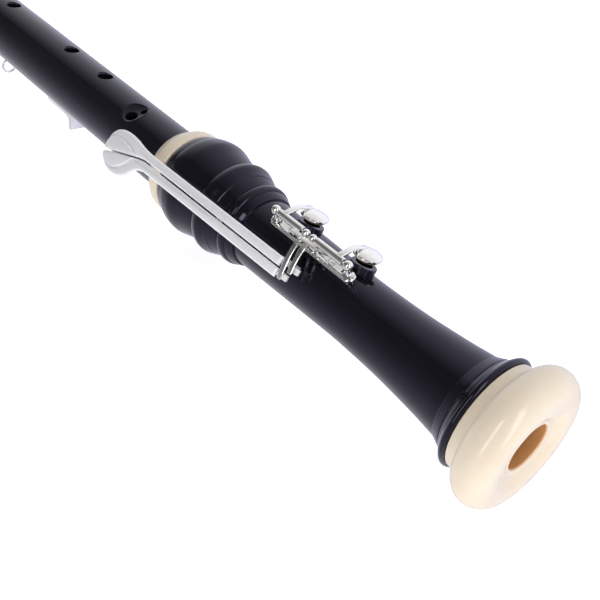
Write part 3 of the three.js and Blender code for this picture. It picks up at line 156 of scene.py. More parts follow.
FLANGE_SHARES = [
    (0, 0.77), (0.08, 0.91), (0.19, 1), (0.31, 1), (0.43, 0.88), (0.57, 0.62), (0.71, 0.36),
    (0.86, 0.17), (1, -0.06),
]
BAND_SHARES = [(0.05, 1), (0.38, 0.64), (0.7, 0.27), (0.97, 0)]
NECK_SHARES = [
    (0, 0), (0.04, 0.15), (0.08, 0.3), (0.13, 0.45), (0.19, 0.61), (0.26, 0.77),
    (0.33, 0.88), (0.41, 0.955), (0.5, 1),
]
NECK_RISE_SHARES = [(0.62, 0.22), (0.75, 0.5), (0.88, 0.78), (1, 1)]
LOW_BEAD_SHARES = [(0, 0), (0.45, 0.6), (0.9, 1)]
BIG_BEAD_SHARES = [(0, 0), (0.15, 0.2), (0.31, 0.42)]
BIG_BEAD_CUT_SHARE = (0.33, 0.35)
BIG_BEAD_TOP_SHARES = [
    (0.35, 0.48), (0.49, 0.67), (0.61, 0.86), (0.69, 0.97), (0.75, 1), (0.84, 0.96), (0.95, 0.83),
    (1, 0.71),
]
BULB_SHARES = [
    (0, 0), (0.08, 0.18), (0.18, 0.37), (0.28, 0.55), (0.37, 0.7), (0.44, 0.83), (0.51, 0.94),
    (0.58, 1), (0.69, 0.94), (0.76, 0.86), (0.82, 0.75), (0.88, 0.61), (0.95, 0.49), (1, 0.37),
]
BULB_CREST_SHARE = 0.58
HEAD_BULB_FALL_SHARES = [(0.69, 0.9), (0.76, 0.77), (0.82, 0.6), (0.88, 0.39), (0.95, 0.18), (1, 0)]
RING_SHARES = [
    (0, 0.9), (0.08, 1), (0.34, 1), (0.48, 0.92), (0.62, 0.74), (0.76, 0.53), (0.9, 0.32),
    (1, 0.1),
]

# Socket rings and tenons
RING_SEAT_WALL = 3.6
RING_SEAT_LENGTH = 6.5
RING_LIP_LENGTH = 8.2
RING_WALL = 4.8
RING_EDGE = 0.8
TENON_CLEARANCE = 0.4
TENON_FLOOR_GAP = 0.4

# Middle joint
MIDDLE_RADIUS = 18.6
MIDDLE_TOP_RADIUS = 19.2
MIDDLE_LENGTH = 350
MIDDLE_TAPER_SHARE = 0.6
LOW_TENON_RADIUS = 16.2
HIGH_TENON_RADIUS = 17.2
LOW_TENON_LENGTH = 31.4
HIGH_TENON_LENGTH = 33
CORK_DEPTH = 1.4
CORK_LENGTH = 17
CORK_INSET = 7
DOUBLE_HOLE_SPOT = 43.5
DOUBLE_HOLE_ANGLE = -23
DISH_RADIUS = 7.8
DISH_DEPTH = 2.2
BIG_HOLE_RADIUS = 3.7
SMALL_HOLE_RADIUS = 2.2
BIG_HOLE_PLACE = (-0.4, -2.9)
SMALL_HOLE_PLACE = (2.3, 4.2)
DISH_SHARES = [(0, 1), (0.45, 0.86), (0.75, 0.52), (0.93, 0.18), (1, 0)]
FINGER_HOLE_RADIUS = 4.3
FINGER_HOLE_FLARE = 0.9
FINGER_HOLE_FLARE_SHARES = [(0, -2), (0.3, -0.8), (1, 0)]
FINGER_HOLE_SPOTS = [87.1, 126.1, 200.1, 241.1, 281.1]
THUMB_HOLE_SPOT = 270.1
THUMB_HOLE_RADIUS = 4.1

# Keywork: spots are distances from the upper post towards the foot
HINGE_ANGLE = -21
HINGE_RADIUS = 27.5
BALL_RADIUS = 2.6
INNER_BALL_RADIUS = 2.2
POST_BELOW_BEAD = 15
UPPER_INNER_SPOT = 22.5
LOWER_INNER_SPOT = 27.5
LOWER_OUTER_SPOT = 51.9
POST_STEM_RADIUS = 1.25
POST_FOOT_RADIUS = 2.7
POST_FOOT_HEIGHT = 1.1
POST_STEM_FLARE = 0.35
POST_STEM_SHARE = 1.6
PLATE_TOP = 20.9
PLATE_WIDTH = 7.2
PLATE_OVERHANG = 3.6
PLATE_BEVEL = 0.5
PLATE_BURY = 2
ROD_RADIUS = 0.9
ROD_REACH_SHARE = 0.88
KEY_TUBE_RADIUS = 2.1
PLATE_SCREW_SPOTS = [11.3, 40.3]
SCREW_HEAD_RADIUS = 1.9
SCREW_HEAD_HEIGHT = 0.8
SCREW_SHANK_RADIUS = 0.9
SCREW_LENGTH = 5
SLOT_WIDTH = 0.5
SLOT_DEPTH = 0.35
SLOT_TURN = 35
UPPER_ARM_SPOT = 21.1
LOWER_ARM_SPOT = 25.7
ARM_SLANT = 0.33
ARM_WIDTH = 3.1
ARM_OUTER_RADIUS = 27.9
ARM_THICKNESS = 2
ARM_BEVEL = 0.45
UPPER_ARM_TIP_ANGLE = -75.5
LOWER_ARM_TIP_ANGLE = -64.5
ARM_ROOT_TURN = 5
ARM_ROOT_HEIGHT = 2.4
ARM_ROOT_REACH = 3.4
ARM_ROOT_DEPTH = 2.6
PAD_ARM_WIDTH = 3.4
PAD_ARM_THICKNESS = 1.5
PAD_ARM_BEVEL_SHARE = 0.8
UPPER_PAD_ARM_SPOT = 6.1
LOWER_PAD_ARM_SPOT = 45.3
UPPER_CUP_SPOT = 10.9
LOWER_CUP_SPOT = 48.9
CUP_ANGLE = 17
CUP_RADIUS = 7.6
CUP_BRIM = 1.1
CUP_DOME = 3
CUP_RECESS = 1
PAD_RADIUS = 6.6
PAD_PROUD = 1.2
PAD_SHUT_GAP = 0.25
CHIMNEY_RADIUS = 7
CHIMNEY_TOP = 21
TONE_HOLE_RADIUS = 4.6
UPPER_KEY_OPENING = 7.9
LOWER_KEY_OPENING = 9.6
RIDGE_RISE = 1.3
CUP_DOME_SHARES = [(1, 0), (0.93, 0.2), (0.72, 0.56), (0.38, 0.88), (0, 1)]
PAD_RIDGE_SHARE = 0.58
PAD_HUMP_SHARE = 0.6
PAD_ARM_TOP_SHARES = [(1, -0.2), (0.8, -0.75)]
PAD_ARM_UNDER_SHARES = [(-0.1, -1), (0.4, -1.2)]

# Long levers
LEVER_ANGLE = -66
LEVER_AXLE_SHARE = 0.667
LEVER_TOP_AT_AXLE = 30.9
LEVER_SLOPE = 3.58
LEVER_THICKNESS = 2.2
LEVER_BEVEL = 0.9
LEVER_BEVEL_SIDE = 0.95
LEVER_WIDTH = 4.9
LEVER_GAP = 0.9
UPPER_LEVER_REACH = 47.4
LOWER_LEVER_REACH = 46.8
TONGUE_DROP = 0.35
BAR_END = 56
TOUCH_LENGTH = 33
TOUCH_KICK = 8.2
TOUCH_WIDTH = 15
LEAF_RISE = 0.7
LEAF_BEVEL = 0.35
LEAF_INSET_SHARE = 0.64
LEAF_LINE_SHARE = 0.73
LEAF_LINE_DEPTH = 0.8
LEAF_SKIP = 3
LINE_DEPTH = 0.4
LINE_SHARES = [
    (-1.17, 0.66), (-1.05, 0.5), (-0.85, 0.42), (-0.1, 0.3), (0.02, 0.18), (-0.11, 0.22), (-0.86, 0.34),
    (-1.06, 0.41), (-1.17, 0.56),
]
AXLE_DROP = 2.4
AXLE_RADIUS = 0.8
LUG_RADIUS = 1.95
LUG_THICKNESS = 1.7
PILLAR_HEAD_RADIUS = 1.9
PILLAR_HEAD_WIDTH = 1.9
PILLAR_RADIUS = 1.5
PILLAR_DEPTH = 5
TONGUE_WIDTH = 3
TONGUE_THICKNESS = 1.5
TONGUE_OFFSET = 2.9
TONGUE_START = 40
UPPER_TONGUE_REACH = 53.1
LOWER_TONGUE_REACH = 57.2
TONGUE_DIP_END = 53
TONGUE_DIP = 3.5
TONGUE_RAMP = 1.2
SPLIT_SHARES = [(0.955, 1), (0.24, 0.14), (0.08, 0)]
TOUCH_TIP_SHARE = 0.012
LEAF_SHARES = [(0.3, 0.16), (0.95, 1)]
TOUCH_OUTER_SHARES = [
    (0, 0), (0.2, 0.05), (0.38, 0.13), (0.56, 0.16), (0.74, 0.12), (0.88, -0.02),
    (0.97, -0.25), (1, -0.56), (0.985, -0.8),
]
LOW_TOUCH_OUTER_SHARES = [
    (0, 0), (0.13, 0.09), (0.23, 0.3), (0.33, 0.55), (0.46, 0.71), (0.62, 0.79),
    (0.8, 0.72), (0.92, 0.55), (0.985, 0.32),
]

# Back of the middle joint
BACK_ANGLE = 180
REST_SPOT = 126.1
REST_LENGTH = 30
REST_WIDTH = 14
REST_RISE = 2
HOOK_RISE = 8
HOOK_THICKNESS = 2.4
HOOK_SHARES = [(-1.6, 0.5), (-1.1, 0)]
REST_SCREW_SHARES = [-0.32, 0.12]
STRAP_SPOT = 206.1
STRAP_LENGTH = 20
STRAP_WIDTH = 9
STRAP_RISE = 1.8
STRAP_SCREW_SHARES = [-0.34, 0.34]
LUG_EYE_RADIUS = 2.3
LUG_EYE_WIDTH = 2.4
LUG_EYE_RISE_SHARE = 0.75
LUG_HOLE_RADIUS = 1.25
STRAP_RING_RADIUS = 4.6
STRAP_WIRE_RADIUS = 0.8
PLATE_BURY_SHARE = 0.8

# Head, cap and crook
HEAD_TUBE_RADIUS = 20.4
HEAD_BULB_RADIUS = 26.6
HEAD_BEAD_RISE = 2.1
HEAD_LENGTH = 371
WINDOW_WIDTH = 17
CUT_UP = 8
WINDWAY_HEIGHT = 1.8
WINDWAY_WIDTH = 15
WINDWAY_FLOOR_SHARE = 0.93
BLOCK_LENGTH = 67.7
RAMP_LENGTH = 36
LIP_HEIGHT = 0.7
CAP_TENON_RADIUS = 18.3
CAP_TENON_LENGTH = 22
SEAL_DEPTH = 1.1
SEAL_LENGTH = 9
CAP_WALL = 3.6
CAP_CHAMBER_RADIUS = 14.5
CAP_CHAMBER_LENGTH = 18
CAP_END_WALL = 13
CAP_RING_LENGTH = 8
CAP_RING_PROUD = 2
CAP_RING_WALL = 1.9
CAP_TOP_SHARES = [(0.5, 0), (0.7, 1), (0.9, 0)]
CAP_END_SHARES = [(0.3, 0.2), (0.6, 0.7), (0.85, 1.7)]
CAP_RING_SHARES = [(0, 0), (0.2, 0.7), (0.5, 1), (0.8, 0.7)]
CROOK_RADIUS = 4.5
CROOK_BORE_RADIUS = 3.7
FERRULE_WALL = 2.4
FERRULE_LENGTH = 8
FERRULE_SPIGOT = 9
FERRULE_BORE_SHARE = 0.4
FERRULE_LIP_SHARES = [(0.25, 0.6), (0.45, 0)]
CROOK_STRAIGHT = 13
CROOK_BEND = 40
CROOK_TURN = 118
CROOK_REACH = 62
MOUTH_LENGTH = 46
MOUTH_SOCKET = 15
MOUTH_ROOT_RADIUS = 8.2
MOUTH_TIP_RADIUS = 5.2
MOUTH_BORE_RADIUS = 2.4
MOUTH_ROOT_SHARES = [(-1, 0.9), (-0.85, 1), (-0.55, 1), (-0.4, 0.86), (0, 0.9)]
MOUTH_TIP_SHARES = [(0.55, 1.1), (0.94, 1), (1, 0.8)]

# Places worked out from the sizes, as the solids have them
DONUT_END = DONUT_FRONT + DONUT_BACK
FOOT_START = DONUT_END + END_NECK_LENGTH + GAP
BAND_START = FOOT_START + FLANGE_LENGTH
NECK_START = BAND_START + BAND_LENGTH
LOW_BEAD_START = NECK_START + NECK_LENGTH
COLLAR_BEAD_START = LOW_BEAD_START + LOW_BEAD_LENGTH
BIG_BEAD_START = COLLAR_BEAD_START + COLLAR_BEAD_LENGTH + GROOVE_WIDTH
BULB_START = BIG_BEAD_START + BIG_BEAD_LENGTH + GROOVE_WIDTH
RING_GROOVE_START = BULB_START + BULB_LENGTH
FOOT_RING_SEAT = RING_GROOVE_START + RING_GROOVE_LENGTH
FOOT_END = FOOT_RING_SEAT + RING_SEAT_LENGTH
MIDDLE_START = FOOT_END + GAP
MIDDLE_END = MIDDLE_START + MIDDLE_LENGTH
FOOT_SOCKET_FLOOR = MIDDLE_START - LOW_TENON_LENGTH - TENON_FLOOR_GAP
HEAD_START = MIDDLE_END + GAP
HEAD_END = HEAD_START + HEAD_LENGTH
HEAD_SOCKET_FLOOR = MIDDLE_END + HIGH_TENON_LENGTH + TENON_FLOOR_GAP
CAP_START = HEAD_END - CAP_TENON_LENGTH
CAP_END = HEAD_END + CAP_CHAMBER_LENGTH + CAP_END_WALL
POST_START = LOW_BEAD_START - POST_BELOW_BEAD
OUTER_POSTS = [POST_START, POST_START - LOWER_OUTER_SPOT]
INNER_POSTS = [POST_START - UPPER_INNER_SPOT, POST_START - LOWER_INNER_SPOT]
LEVER_AXLE = COLLAR_BEAD_START + LEVER_AXLE_SHARE * COLLAR_BEAD_LENGTH
KEY_TUBES = {
    "upper": (INNER_POSTS[0] + INNER_BALL_RADIUS + GAP, OUTER_POSTS[0] - BALL_RADIUS - GAP),
    "lower": (OUTER_POSTS[1] + BALL_RADIUS + GAP, INNER_POSTS[1] - INNER_BALL_RADIUS - GAP),
}
HINGE_Y = HINGE_RADIUS * sin(radians(HINGE_ANGLE))
HINGE_Z = HINGE_RADIUS * cos(radians(HINGE_ANGLE))
HINGE = Matrix.Translation((0, HINGE_Y, HINGE_Z))
AXLE_RADIAL = LEVER_TOP_AT_AXLE - LEVER_THICKNESS - AXLE_DROP
LEVER_TOP = AXLE_DROP + LEVER_THICKNESS
FOOT_SOCKET_RADIUS = LOW_TENON_RADIUS + TENON_CLEARANCE
FOOT_SEAT_RADIUS = FOOT_SOCKET_RADIUS + RING_SEAT_WALL
TAPER_START = MIDDLE_START + MIDDLE_LENGTH * MIDDLE_TAPER_SHARE
HOLE_REACH = MIDDLE_TOP_RADIUS + OVERRUN
FITTING_BOTTOM = MIDDLE_RADIUS * PLATE_BURY_SHARE
REST_PLACE = MIDDLE_START + REST_SPOT
REST_TOP = MIDDLE_TOP_RADIUS + REST_RISE
REST_SCREWS = [(REST_PLACE + REST_LENGTH * share, REST_TOP) for share in REST_SCREW_SHARES]
STRAP_PLACE = MIDDLE_START + STRAP_SPOT
STRAP_TOP = MIDDLE_TOP_RADIUS + STRAP_RISE
STRAP_SCREWS = [(STRAP_PLACE + STRAP_LENGTH * share, STRAP_TOP) for share in STRAP_SCREW_SHARES]
EYE_HEIGHT = STRAP_TOP + LUG_EYE_RADIUS * LUG_EYE_RISE_SHARE
HEAD_SOCKET_RADIUS = HIGH_TENON_RADIUS + TENON_CLEARANCE
HEAD_SEAT_RADIUS = HEAD_SOCKET_RADIUS + RING_SEAT_WALL
HEAD_RING_SEAT = HEAD_START + RING_SEAT_LENGTH
WINDOW_END = HEAD_END - BLOCK_LENGTH
WINDOW_START = WINDOW_END - CUT_UP
WINDWAY_FLOOR = HEAD_BORE * WINDWAY_FLOOR_SHARE

# Ways to lay a flat outline
STRAIGHT = Matrix.Identity(4)
CROSSWAYS = Matrix(((0, 0, 1, 0), (1, 0, 0, 0), (0, 1, 0, 0), (0, 0, 0, 1)))
LENGTHWAYS = Matrix(((1, 0, 0, 0), (0, 0, -1, 0), (0, 1, 0, 0), (0, 0, 0, 1)))
ACROSS = Matrix.Rotation(radians(-90), 4, "X")

# The middle of the foot's face, in metres
ring_low, ring_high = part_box("foot_end_ring")
MOUTH = Vector((
    ring_high.x - DONUT_CREST * MM, (ring_low.y + ring_high.y) / 2, (ring_low.z + ring_high.z) / 2,
))
WORLD = Matrix.Translation(MOUTH) @ Matrix.Scale(MM, 4)


# Outlines
def shares(table, start, length, edge, peak):
    """Points from a table of shares of the length and of the rise from edge to peak."""
    return [(start + along * length, edge + out * (peak - edge)) for along, out in table]


def flow(points, steps=FLOW_STEPS):
    """A smooth run through the points."""
    knots = [Vector(point) for point in points]
    line = [2 * knots[0] - knots[1], *knots, 2 * knots[-1] - knots[-2]]
    run = []
    for a, b, c, d in zip(line, line[1:], line[2:], line[3:]):
        one, two, three = (max((q - p).length, WELD) ** 0.5 for p, q in ((a, b), (b, c), (c, d)))
        two += one
        three += two
        for i in range(steps):
            share = i / steps
            t = one + (two - one) * share
            bc = b.lerp(c, share)
            early = a.lerp(b, t / one).lerp(bc, t / two)
            late = bc.lerp(c.lerp(d, (t - two) / (three - two)), (t - one) / (three - one))
            run.append(early.lerp(late, share))
    return [*run, knots[-1]]


def eased(points, reach):
    """The closed outline with each sharp corner turned into a short curve."""
    line = [Vector(point) for point in points]
    made = []
    for before, here, after in zip(line[-1:] + line[:-1], line, line[1:] + line[:1]):
        back, ahead = before - here, after - here
        if min(back.length, ahead.length) < WELD or pi - back.angle(ahead) < SHARP / 2:
            made.append(here)
            continue
        start = here + back.normalized() * min(reach, back.length / EASE_ROOM)
        end = here + ahead.normalized() * min(reach, ahead.length / EASE_ROOM)
        for i in range(EASE_STEPS + 1):
            t = i / EASE_STEPS
            made.append(start.lerp(here, t).lerp(here.lerp(end, t), t))
    return made


def arc(centre, radius, low, high, steps=ARC_STEPS, rise=None):
    """Points on a circle, or on an oval of another rise, from one angle in degrees to the next."""
    turns = [radians(low + (high - low) * i / steps) for i in range(steps + 1)]
    return [(centre[0] + radius * cos(t), centre[1] + (rise or radius) * sin(t)) for t in turns]


def stretch(start, end, radius, end_radius):
    """A straight run of the outline with a point every few millimetres."""
    count = max(1, round(abs(end - start) / STRETCH_STEP))
    even = [(i / count, i / count) for i in range(count + 1)]
    return shares(even, start, end - start, radius, end_radius)


def groove(start, end, radius, depth):
    return [(start, radius), (start, radius - depth), (end, radius - depth), (end, radius)]


# Meshes, in millimetres about the bore
def tidied(mesh):
    bmesh.ops.remove_doubles(mesh, verts=mesh.verts, dist=WELD)
    bmesh.ops.recalc_face_normals(mesh, faces=mesh.faces)
    return mesh


def woven(rings):
    """A skin over rings of points, with the last ring joined to the first."""
    mesh = bmesh.new()
    made = [[mesh.verts.new(point) for point in ring] for ring in rings]
    for a, b in zip(made, made[1:] + made[:1]):
        for i in range(len(a)):
            j = (i + 1) % len(a)
            mesh.faces.new((a[i], a[j], b[j], b[i]))
    return tidied(mesh)


def full_turn(sides):
    return [2 * pi * i / sides for i in range(sides)]


def turned(points, sides=ROUND):
    """A closed outline of (place, radius) turned about the bore."""
    return woven([[(-p, r * sin(t), r * cos(t)) for t in full_turn(sides)] for p, r in points])


def upright(points, matrix, sides=SMALL_ROUND):
    """A closed outline of (radius, height) turned about the matrix's Z."""
    mesh = woven([[(r * cos(t), r * sin(t), h) for t in full_turn(sides)] for r, h in points])
    mesh.transform(matrix)
    return mesh


def rod(low, high, radius, ease, sides=ROUND):
    return turned(eased([(low, 0), (high, 0), (high, radius), (low, radius)], ease), sides)


def drum(radius, low, high, matrix, sides=SMALL_ROUND, ease=0):
    outline = [(0, low), (radius, low), (radius, high), (0, high)]
    return upright(eased(outline, ease) if ease else outline, matrix, sides)


def standing(place, angle, radius=0, slope=0):
    """X to the foot, Y round the bore, Z outwards, at a place on the bore."""
    turn, tilt = radians(angle), radians(slope)
    along = Vector((1, 0, 0))
    round_bore = Vector((0, cos(turn), -sin(turn)))
    out = Vector((0, sin(turn), cos(turn)))
    axes = Matrix((along * cos(tilt) - out * sin(tilt), round_bore, along * sin(tilt) + out * cos(tilt)))
    return Matrix.Translation(out * radius - along * place) @ axes.transposed().to_4x4()


def slab(outline, top, thickness, matrix, ease=0, bevel=0, side=None):
    """A flat piece with chamfered edges. Its outline is in local X and Y."""
    mesh = bmesh.new()
    base = mesh.faces.new([mesh.verts.new((x, y, top - thickness + bevel)) for x, y in outline])
    lifted = bmesh.ops.extrude_face_region(mesh, geom=[base])
    upper = [v for v in lifted["geom"] if isinstance(v, bmesh.types.BMVert)]
    bmesh.ops.translate(mesh, verts=upper, vec=(0, 0, thickness - 2 * bevel))
    bmesh.ops.recalc_face_normals(mesh, faces=mesh.faces)
    if bevel:
        caps = [f for f in mesh.faces if abs(f.normal.z) > LEVEL]
        inset = side or bevel
        bmesh.ops.inset_individual(mesh, faces=caps, thickness=inset, depth=bevel, use_even_offset=True)
    if ease:
        edges = [e for e in mesh.edges if len(e.link_faces) == 2 and e.calc_face_angle(0) > SHARP]
        bmesh.ops.bevel(mesh, geom=edges, offset=ease, **BEVEL)
    mesh.transform(matrix)
    return tidied(mesh)


def block(x0, x1, y0, y1, z0, z1, matrix=STRAIGHT, ease=0):
    x0, x1 = sorted((x0, x1))
    return slab([(x0, y0), (x1, y0), (x1, y1), (x0, y1)], z1, z1 - z0, matrix, ease)


def crosswise(outline, place, width, bevel):
    """A side view in Y and Z, as wide along X as it says."""
    matrix = Matrix.Translation((-place, 0, 0)) @ CROSSWAYS
    return slab(outline, width / 2, width, matrix, CRISP_EDGE, bevel)


def lengthwise(outline, low, high, matrix=STRAIGHT, ease=0):
    """A side view in local X and Z, from one local Y to another."""
    return slab(outline, -low, high - low, matrix @ LENGTHWAYS, ease)


def placed(name, data):
    made = bpy.data.objects.new(name, data)
    bpy.context.scene.collection.objects.link(made)
    return made


def as_object(mesh, name="part"):
    data = bpy.data.meshes.new(name)
    mesh.to_mesh(data)
    mesh.free()
    return placed(name, data)


def combined(base, operation, *tools):
    """The mesh with the tools cut from it or joined to it."""
    whole = as_object(base)
    others = [as_object(tool) for tool in tools]
    for other in others:
        change = whole.modifiers.new(operation, "BOOLEAN")
        change.operation = operation
        change.solver = "EXACT"
        change.object = other
    made = bmesh.new()
    made.from_object(whole, bpy.context.evaluated_depsgraph_get())
    for spent in [whole, *others]:
        data = spent.data
        bpy.data.objects.remove(spent)
        bpy.data.meshes.remove(data)
    return tidied(made)


def cut(base, *tools):
    return combined(base, "DIFFERENCE", *tools)


def join(base, *others):
    return combined(base, "UNION", *others)


def piece(name, mesh, paint, body, node):
    """A finished piece: it shows instead of the node and rides on the body."""
    mesh.transform(WORLD)
    made = as_object(mesh, name)
    made.data.materials.append(PAINTS[paint])
    made.data.shade_smooth()
    made.data.set_sharp_from_angle(angle=SHARP)
    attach(made, body)
    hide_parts(node)


# Materials
def wired(tree, kind, inputs, output=0, operation=None):
    """A new node's output. Each input is a value or another node's output."""
    made = tree.nodes.new(f"ShaderNode{kind}")
    if operation:
        made.operation = operation
    for name, value in inputs.items():
        if isinstance(value, bpy.types.NodeSocket):
            tree.links.new(value, made.inputs[name])
        else:
            made.inputs[name].default_value = value
    return made.outputs[output]


def shaded(tree, value, stops):
    """The colour that belongs to a value, from stops of (place, colour)."""
    colour = wired(tree, "ValToRGB", {"Fac": value})
    ramp = colour.node.color_ramp.elements
    while len(ramp) < len(stops):
        ramp.new(0.5)
    for element, (place, shade) in zip(ramp, stops):
        element.position = place
        element.color = (*shade, 1)
    return colour


class Paint:
    """A principled material and the few nodes that shape its look."""

    def __init__(self, name, **settings):
        self.material = bpy.data.materials.new(name)
        self.material.use_nodes = True
        self.tree = self.material.node_tree
        self.inputs = self.tree.nodes["Principled BSDF"].inputs
        for socket, value in settings.items():
            self.inputs[socket.replace("_", " ")].default_value = value
        self.place = wired(self.tree, "TexCoord", {}, "Object")

    def noise(self, scale, detail=2, stretch=(1, 1, 1), roughness=0.5):
        place = wired(self.tree, "Mapping", {"Vector": self.place, "Scale": stretch})
        inputs = {"Vector": place, "Scale": scale, "Detail": detail, "Roughness": roughness}
        return wired(self.tree, "TexNoise", inputs)

    def cells(self, scale):
        return wired(self.tree, "TexVoronoi", {"Vector": self.place, "Scale": scale})

    def spread(self, value, low, high, low_at=0.3, high_at=0.7):
        inputs = {"Value": value, "From Min": low_at, "From Max": high_at, "To Min": low, "To Max": high}
        return wired(self.tree, "MapRange", inputs)

    def colours(self, value, *stops):
        self.tree.links.new(shaded(self.tree, value, stops), self.inputs["Base Color"])

    def painted_bore_shade(self, colour, radius):
        """Painted shade: inside the radius about the bore the surface takes the colour, a darker tan that
        stands in for the shade down the bore.
        """
        inputs = {"Vector": self.place, "Scale": (0, 1, 1), "Location": (0, -MOUTH.y, -MOUTH.z)}
        reach = wired(self.tree, "VectorMath", {0: wired(self.tree, "Mapping", inputs)}, "Value", "LENGTH")
        base = self.inputs["Base Color"]
        outside = self.spread(reach, 0, 1, radius * MM, (radius + BORE_CHAMFER) * MM)
        inputs = {"Fac": outside, "Color1": (*colour, 1), "Color2": base.links[0].from_socket}
        self.tree.links.new(wired(self.tree, "MixRGB", inputs), base)

    def rough(self, value, low, high):
        self.tree.links.new(self.spread(value, low, high), self.inputs["Roughness"])

    def bump(self, *layers):
        """Layers are (height, distance in millimetres), each over the one before."""
        under = {}
        for height, depth in layers:
            inputs = {"Strength": 1, "Distance": depth * MM, "Height": height, **under}
            under = {"Normal": wired(self.tree, "Bump", inputs)}
        self.tree.links.new(under["Normal"], self.inputs["Normal"])


def black_plastic():
    """Moulded black with a polished skin, faint ripple and hairline wipe marks."""
    paint = Paint("black_plastic", IOR=1.5, Specular_Tint=(0.70, 0.69, 1.0, 1))
    paint.colours(paint.noise(14, 3), (0.35, (0.0046, 0.0040, 0.0062)), (0.68, (0.0064, 0.0056, 0.0084)))
    paint.rough(paint.noise(60, 4), 0.075, 0.12)
    paint.bump((paint.noise(160), 0.004), (paint.noise(900, 3, (0.06, 1, 1)), 0.0006))
    return paint.material


def cream_plastic():
    """Ivory coloured plastic: warm, a little translucent, with faint cloudiness, and a painted darker tan
    for the shade inside the bore.
    """
    paint = Paint(
        "cream_plastic", IOR=1.49, Subsurface_Weight=0.3, Subsurface_Radius=(1.0, 0.6, 0.35),
        Subsurface_Scale=0.003,
    )
    paint.colours(
        paint.noise(38, 4, roughness=0.6), (0.30, (0.71, 0.61, 0.485)), (0.55, (0.74, 0.645, 0.52)),
        (0.75, (0.76, 0.675, 0.555)),
    )
    # Painted shade: a darker tan within the bore's radius stands in for the shade down the bore
    paint.painted_bore_shade((0.56, 0.29, 0.12), BORE)
    paint.rough(paint.noise(90, 3), 0.07, 0.12)
    paint.bump((paint.noise(180), 0.006), (paint.noise(1400, 2, (0.1, 1, 1)), 0.001))
    return paint.material


def silver_plate():
    """Bright plating with soft tarnish clouds and a faint ripple."""
    paint = Paint("silver_plate", Metallic=1)
    paint.colours(
        paint.noise(160, 4, roughness=0.6), (0.28, (0.82, 0.80, 0.76)), (0.5, (0.90, 0.89, 0.87)),
        (0.8, (0.94, 0.935, 0.92)),
    )
    paint.rough(paint.noise(420, 4), 0.04, 0.09)
    paint.bump((paint.noise(520), 0.002))
    return paint.material


def satin_silver():
    """Plating brushed along its length to a soft sheen."""
    paint = Paint("satin_silver", Metallic=0.5)
    paint.colours(
        paint.noise(90, 4, roughness=0.6), (0.28, (0.92, 0.915, 0.94)), (0.5, (0.96, 0.955, 0.98)),
        (0.8, (0.98, 0.975, 1.0)),
    )
    paint.rough(paint.noise(300, 4), 0.38, 0.48)
    paint.bump((paint.noise(800, 2, (0.04, 1, 1)), 0.0015))
    return paint.material


def plain_steel():
    paint = Paint("plain_steel", Metallic=1)
    paint.colours(paint.noise(700, 3), (0.3, (0.42, 0.42, 0.43)), (0.7, (0.60, 0.60, 0.61)))
    paint.rough(paint.noise(900, 3), 0.22, 0.38)
    paint.bump((paint.noise(3000, 2, (0.2, 1, 1)), 0.003))
    return paint.material


def cork_sheet():
    """Fine cork: pale grain, darker pores and small pits."""
    paint = Paint("cork_sheet", Specular_IOR_Level=0.25)
    grain = paint.cells(900)
    paint.colours(
        paint.noise(420, 5, roughness=0.7), (0.36, (0.16, 0.085, 0.040)), (0.46, (0.42, 0.27, 0.145)),
        (0.70, (0.55, 0.37, 0.21)),
    )
    paint.rough(grain, 0.75, 0.95)
    paint.bump((grain, 0.12), (paint.noise(1500, 4), 0.05))
    return paint.material


def dense_felt():
    paint = Paint("dense_felt", Roughness=0.95, Sheen_Weight=0.4, Specular_IOR_Level=0.15)
    paint.colours(paint.noise(1500, 5), (0.3, (0.016, 0.012, 0.014)), (0.7, (0.045, 0.034, 0.038)))
    paint.bump((paint.noise(3500, 5, roughness=0.8), 0.10))
    return paint.material


def pad_leather():
    """Brown kid leather with a fine grain."""
    paint = Paint("pad_leather", Specular_IOR_Level=0.35)
    paint.colours(
        paint.noise(500, 4), (0.30, (0.045, 0.025, 0.016)), (0.55, (0.10, 0.056, 0.033)),
        (0.8, (0.15, 0.090, 0.055)),
    )
    paint.rough(paint.noise(800, 3), 0.5, 0.72)
    paint.bump((paint.cells(1600), 0.04))
    return paint.material


PAINTS = {
    "black": black_plastic(),
    "cream": cream_plastic(),
    "silver": silver_plate(),
    "satin": satin_silver(),
    "steel": plain_steel(),
    "cork": cork_sheet(),
    "felt": dense_felt(),
    "pad": pad_leather(),
}
for part in frame["record"]["subparts"]:
    solid = frame["nodes"][part["node"]].data
    solid.materials.clear()
    solid.materials.append(PAINTS[part["material_slot"]])


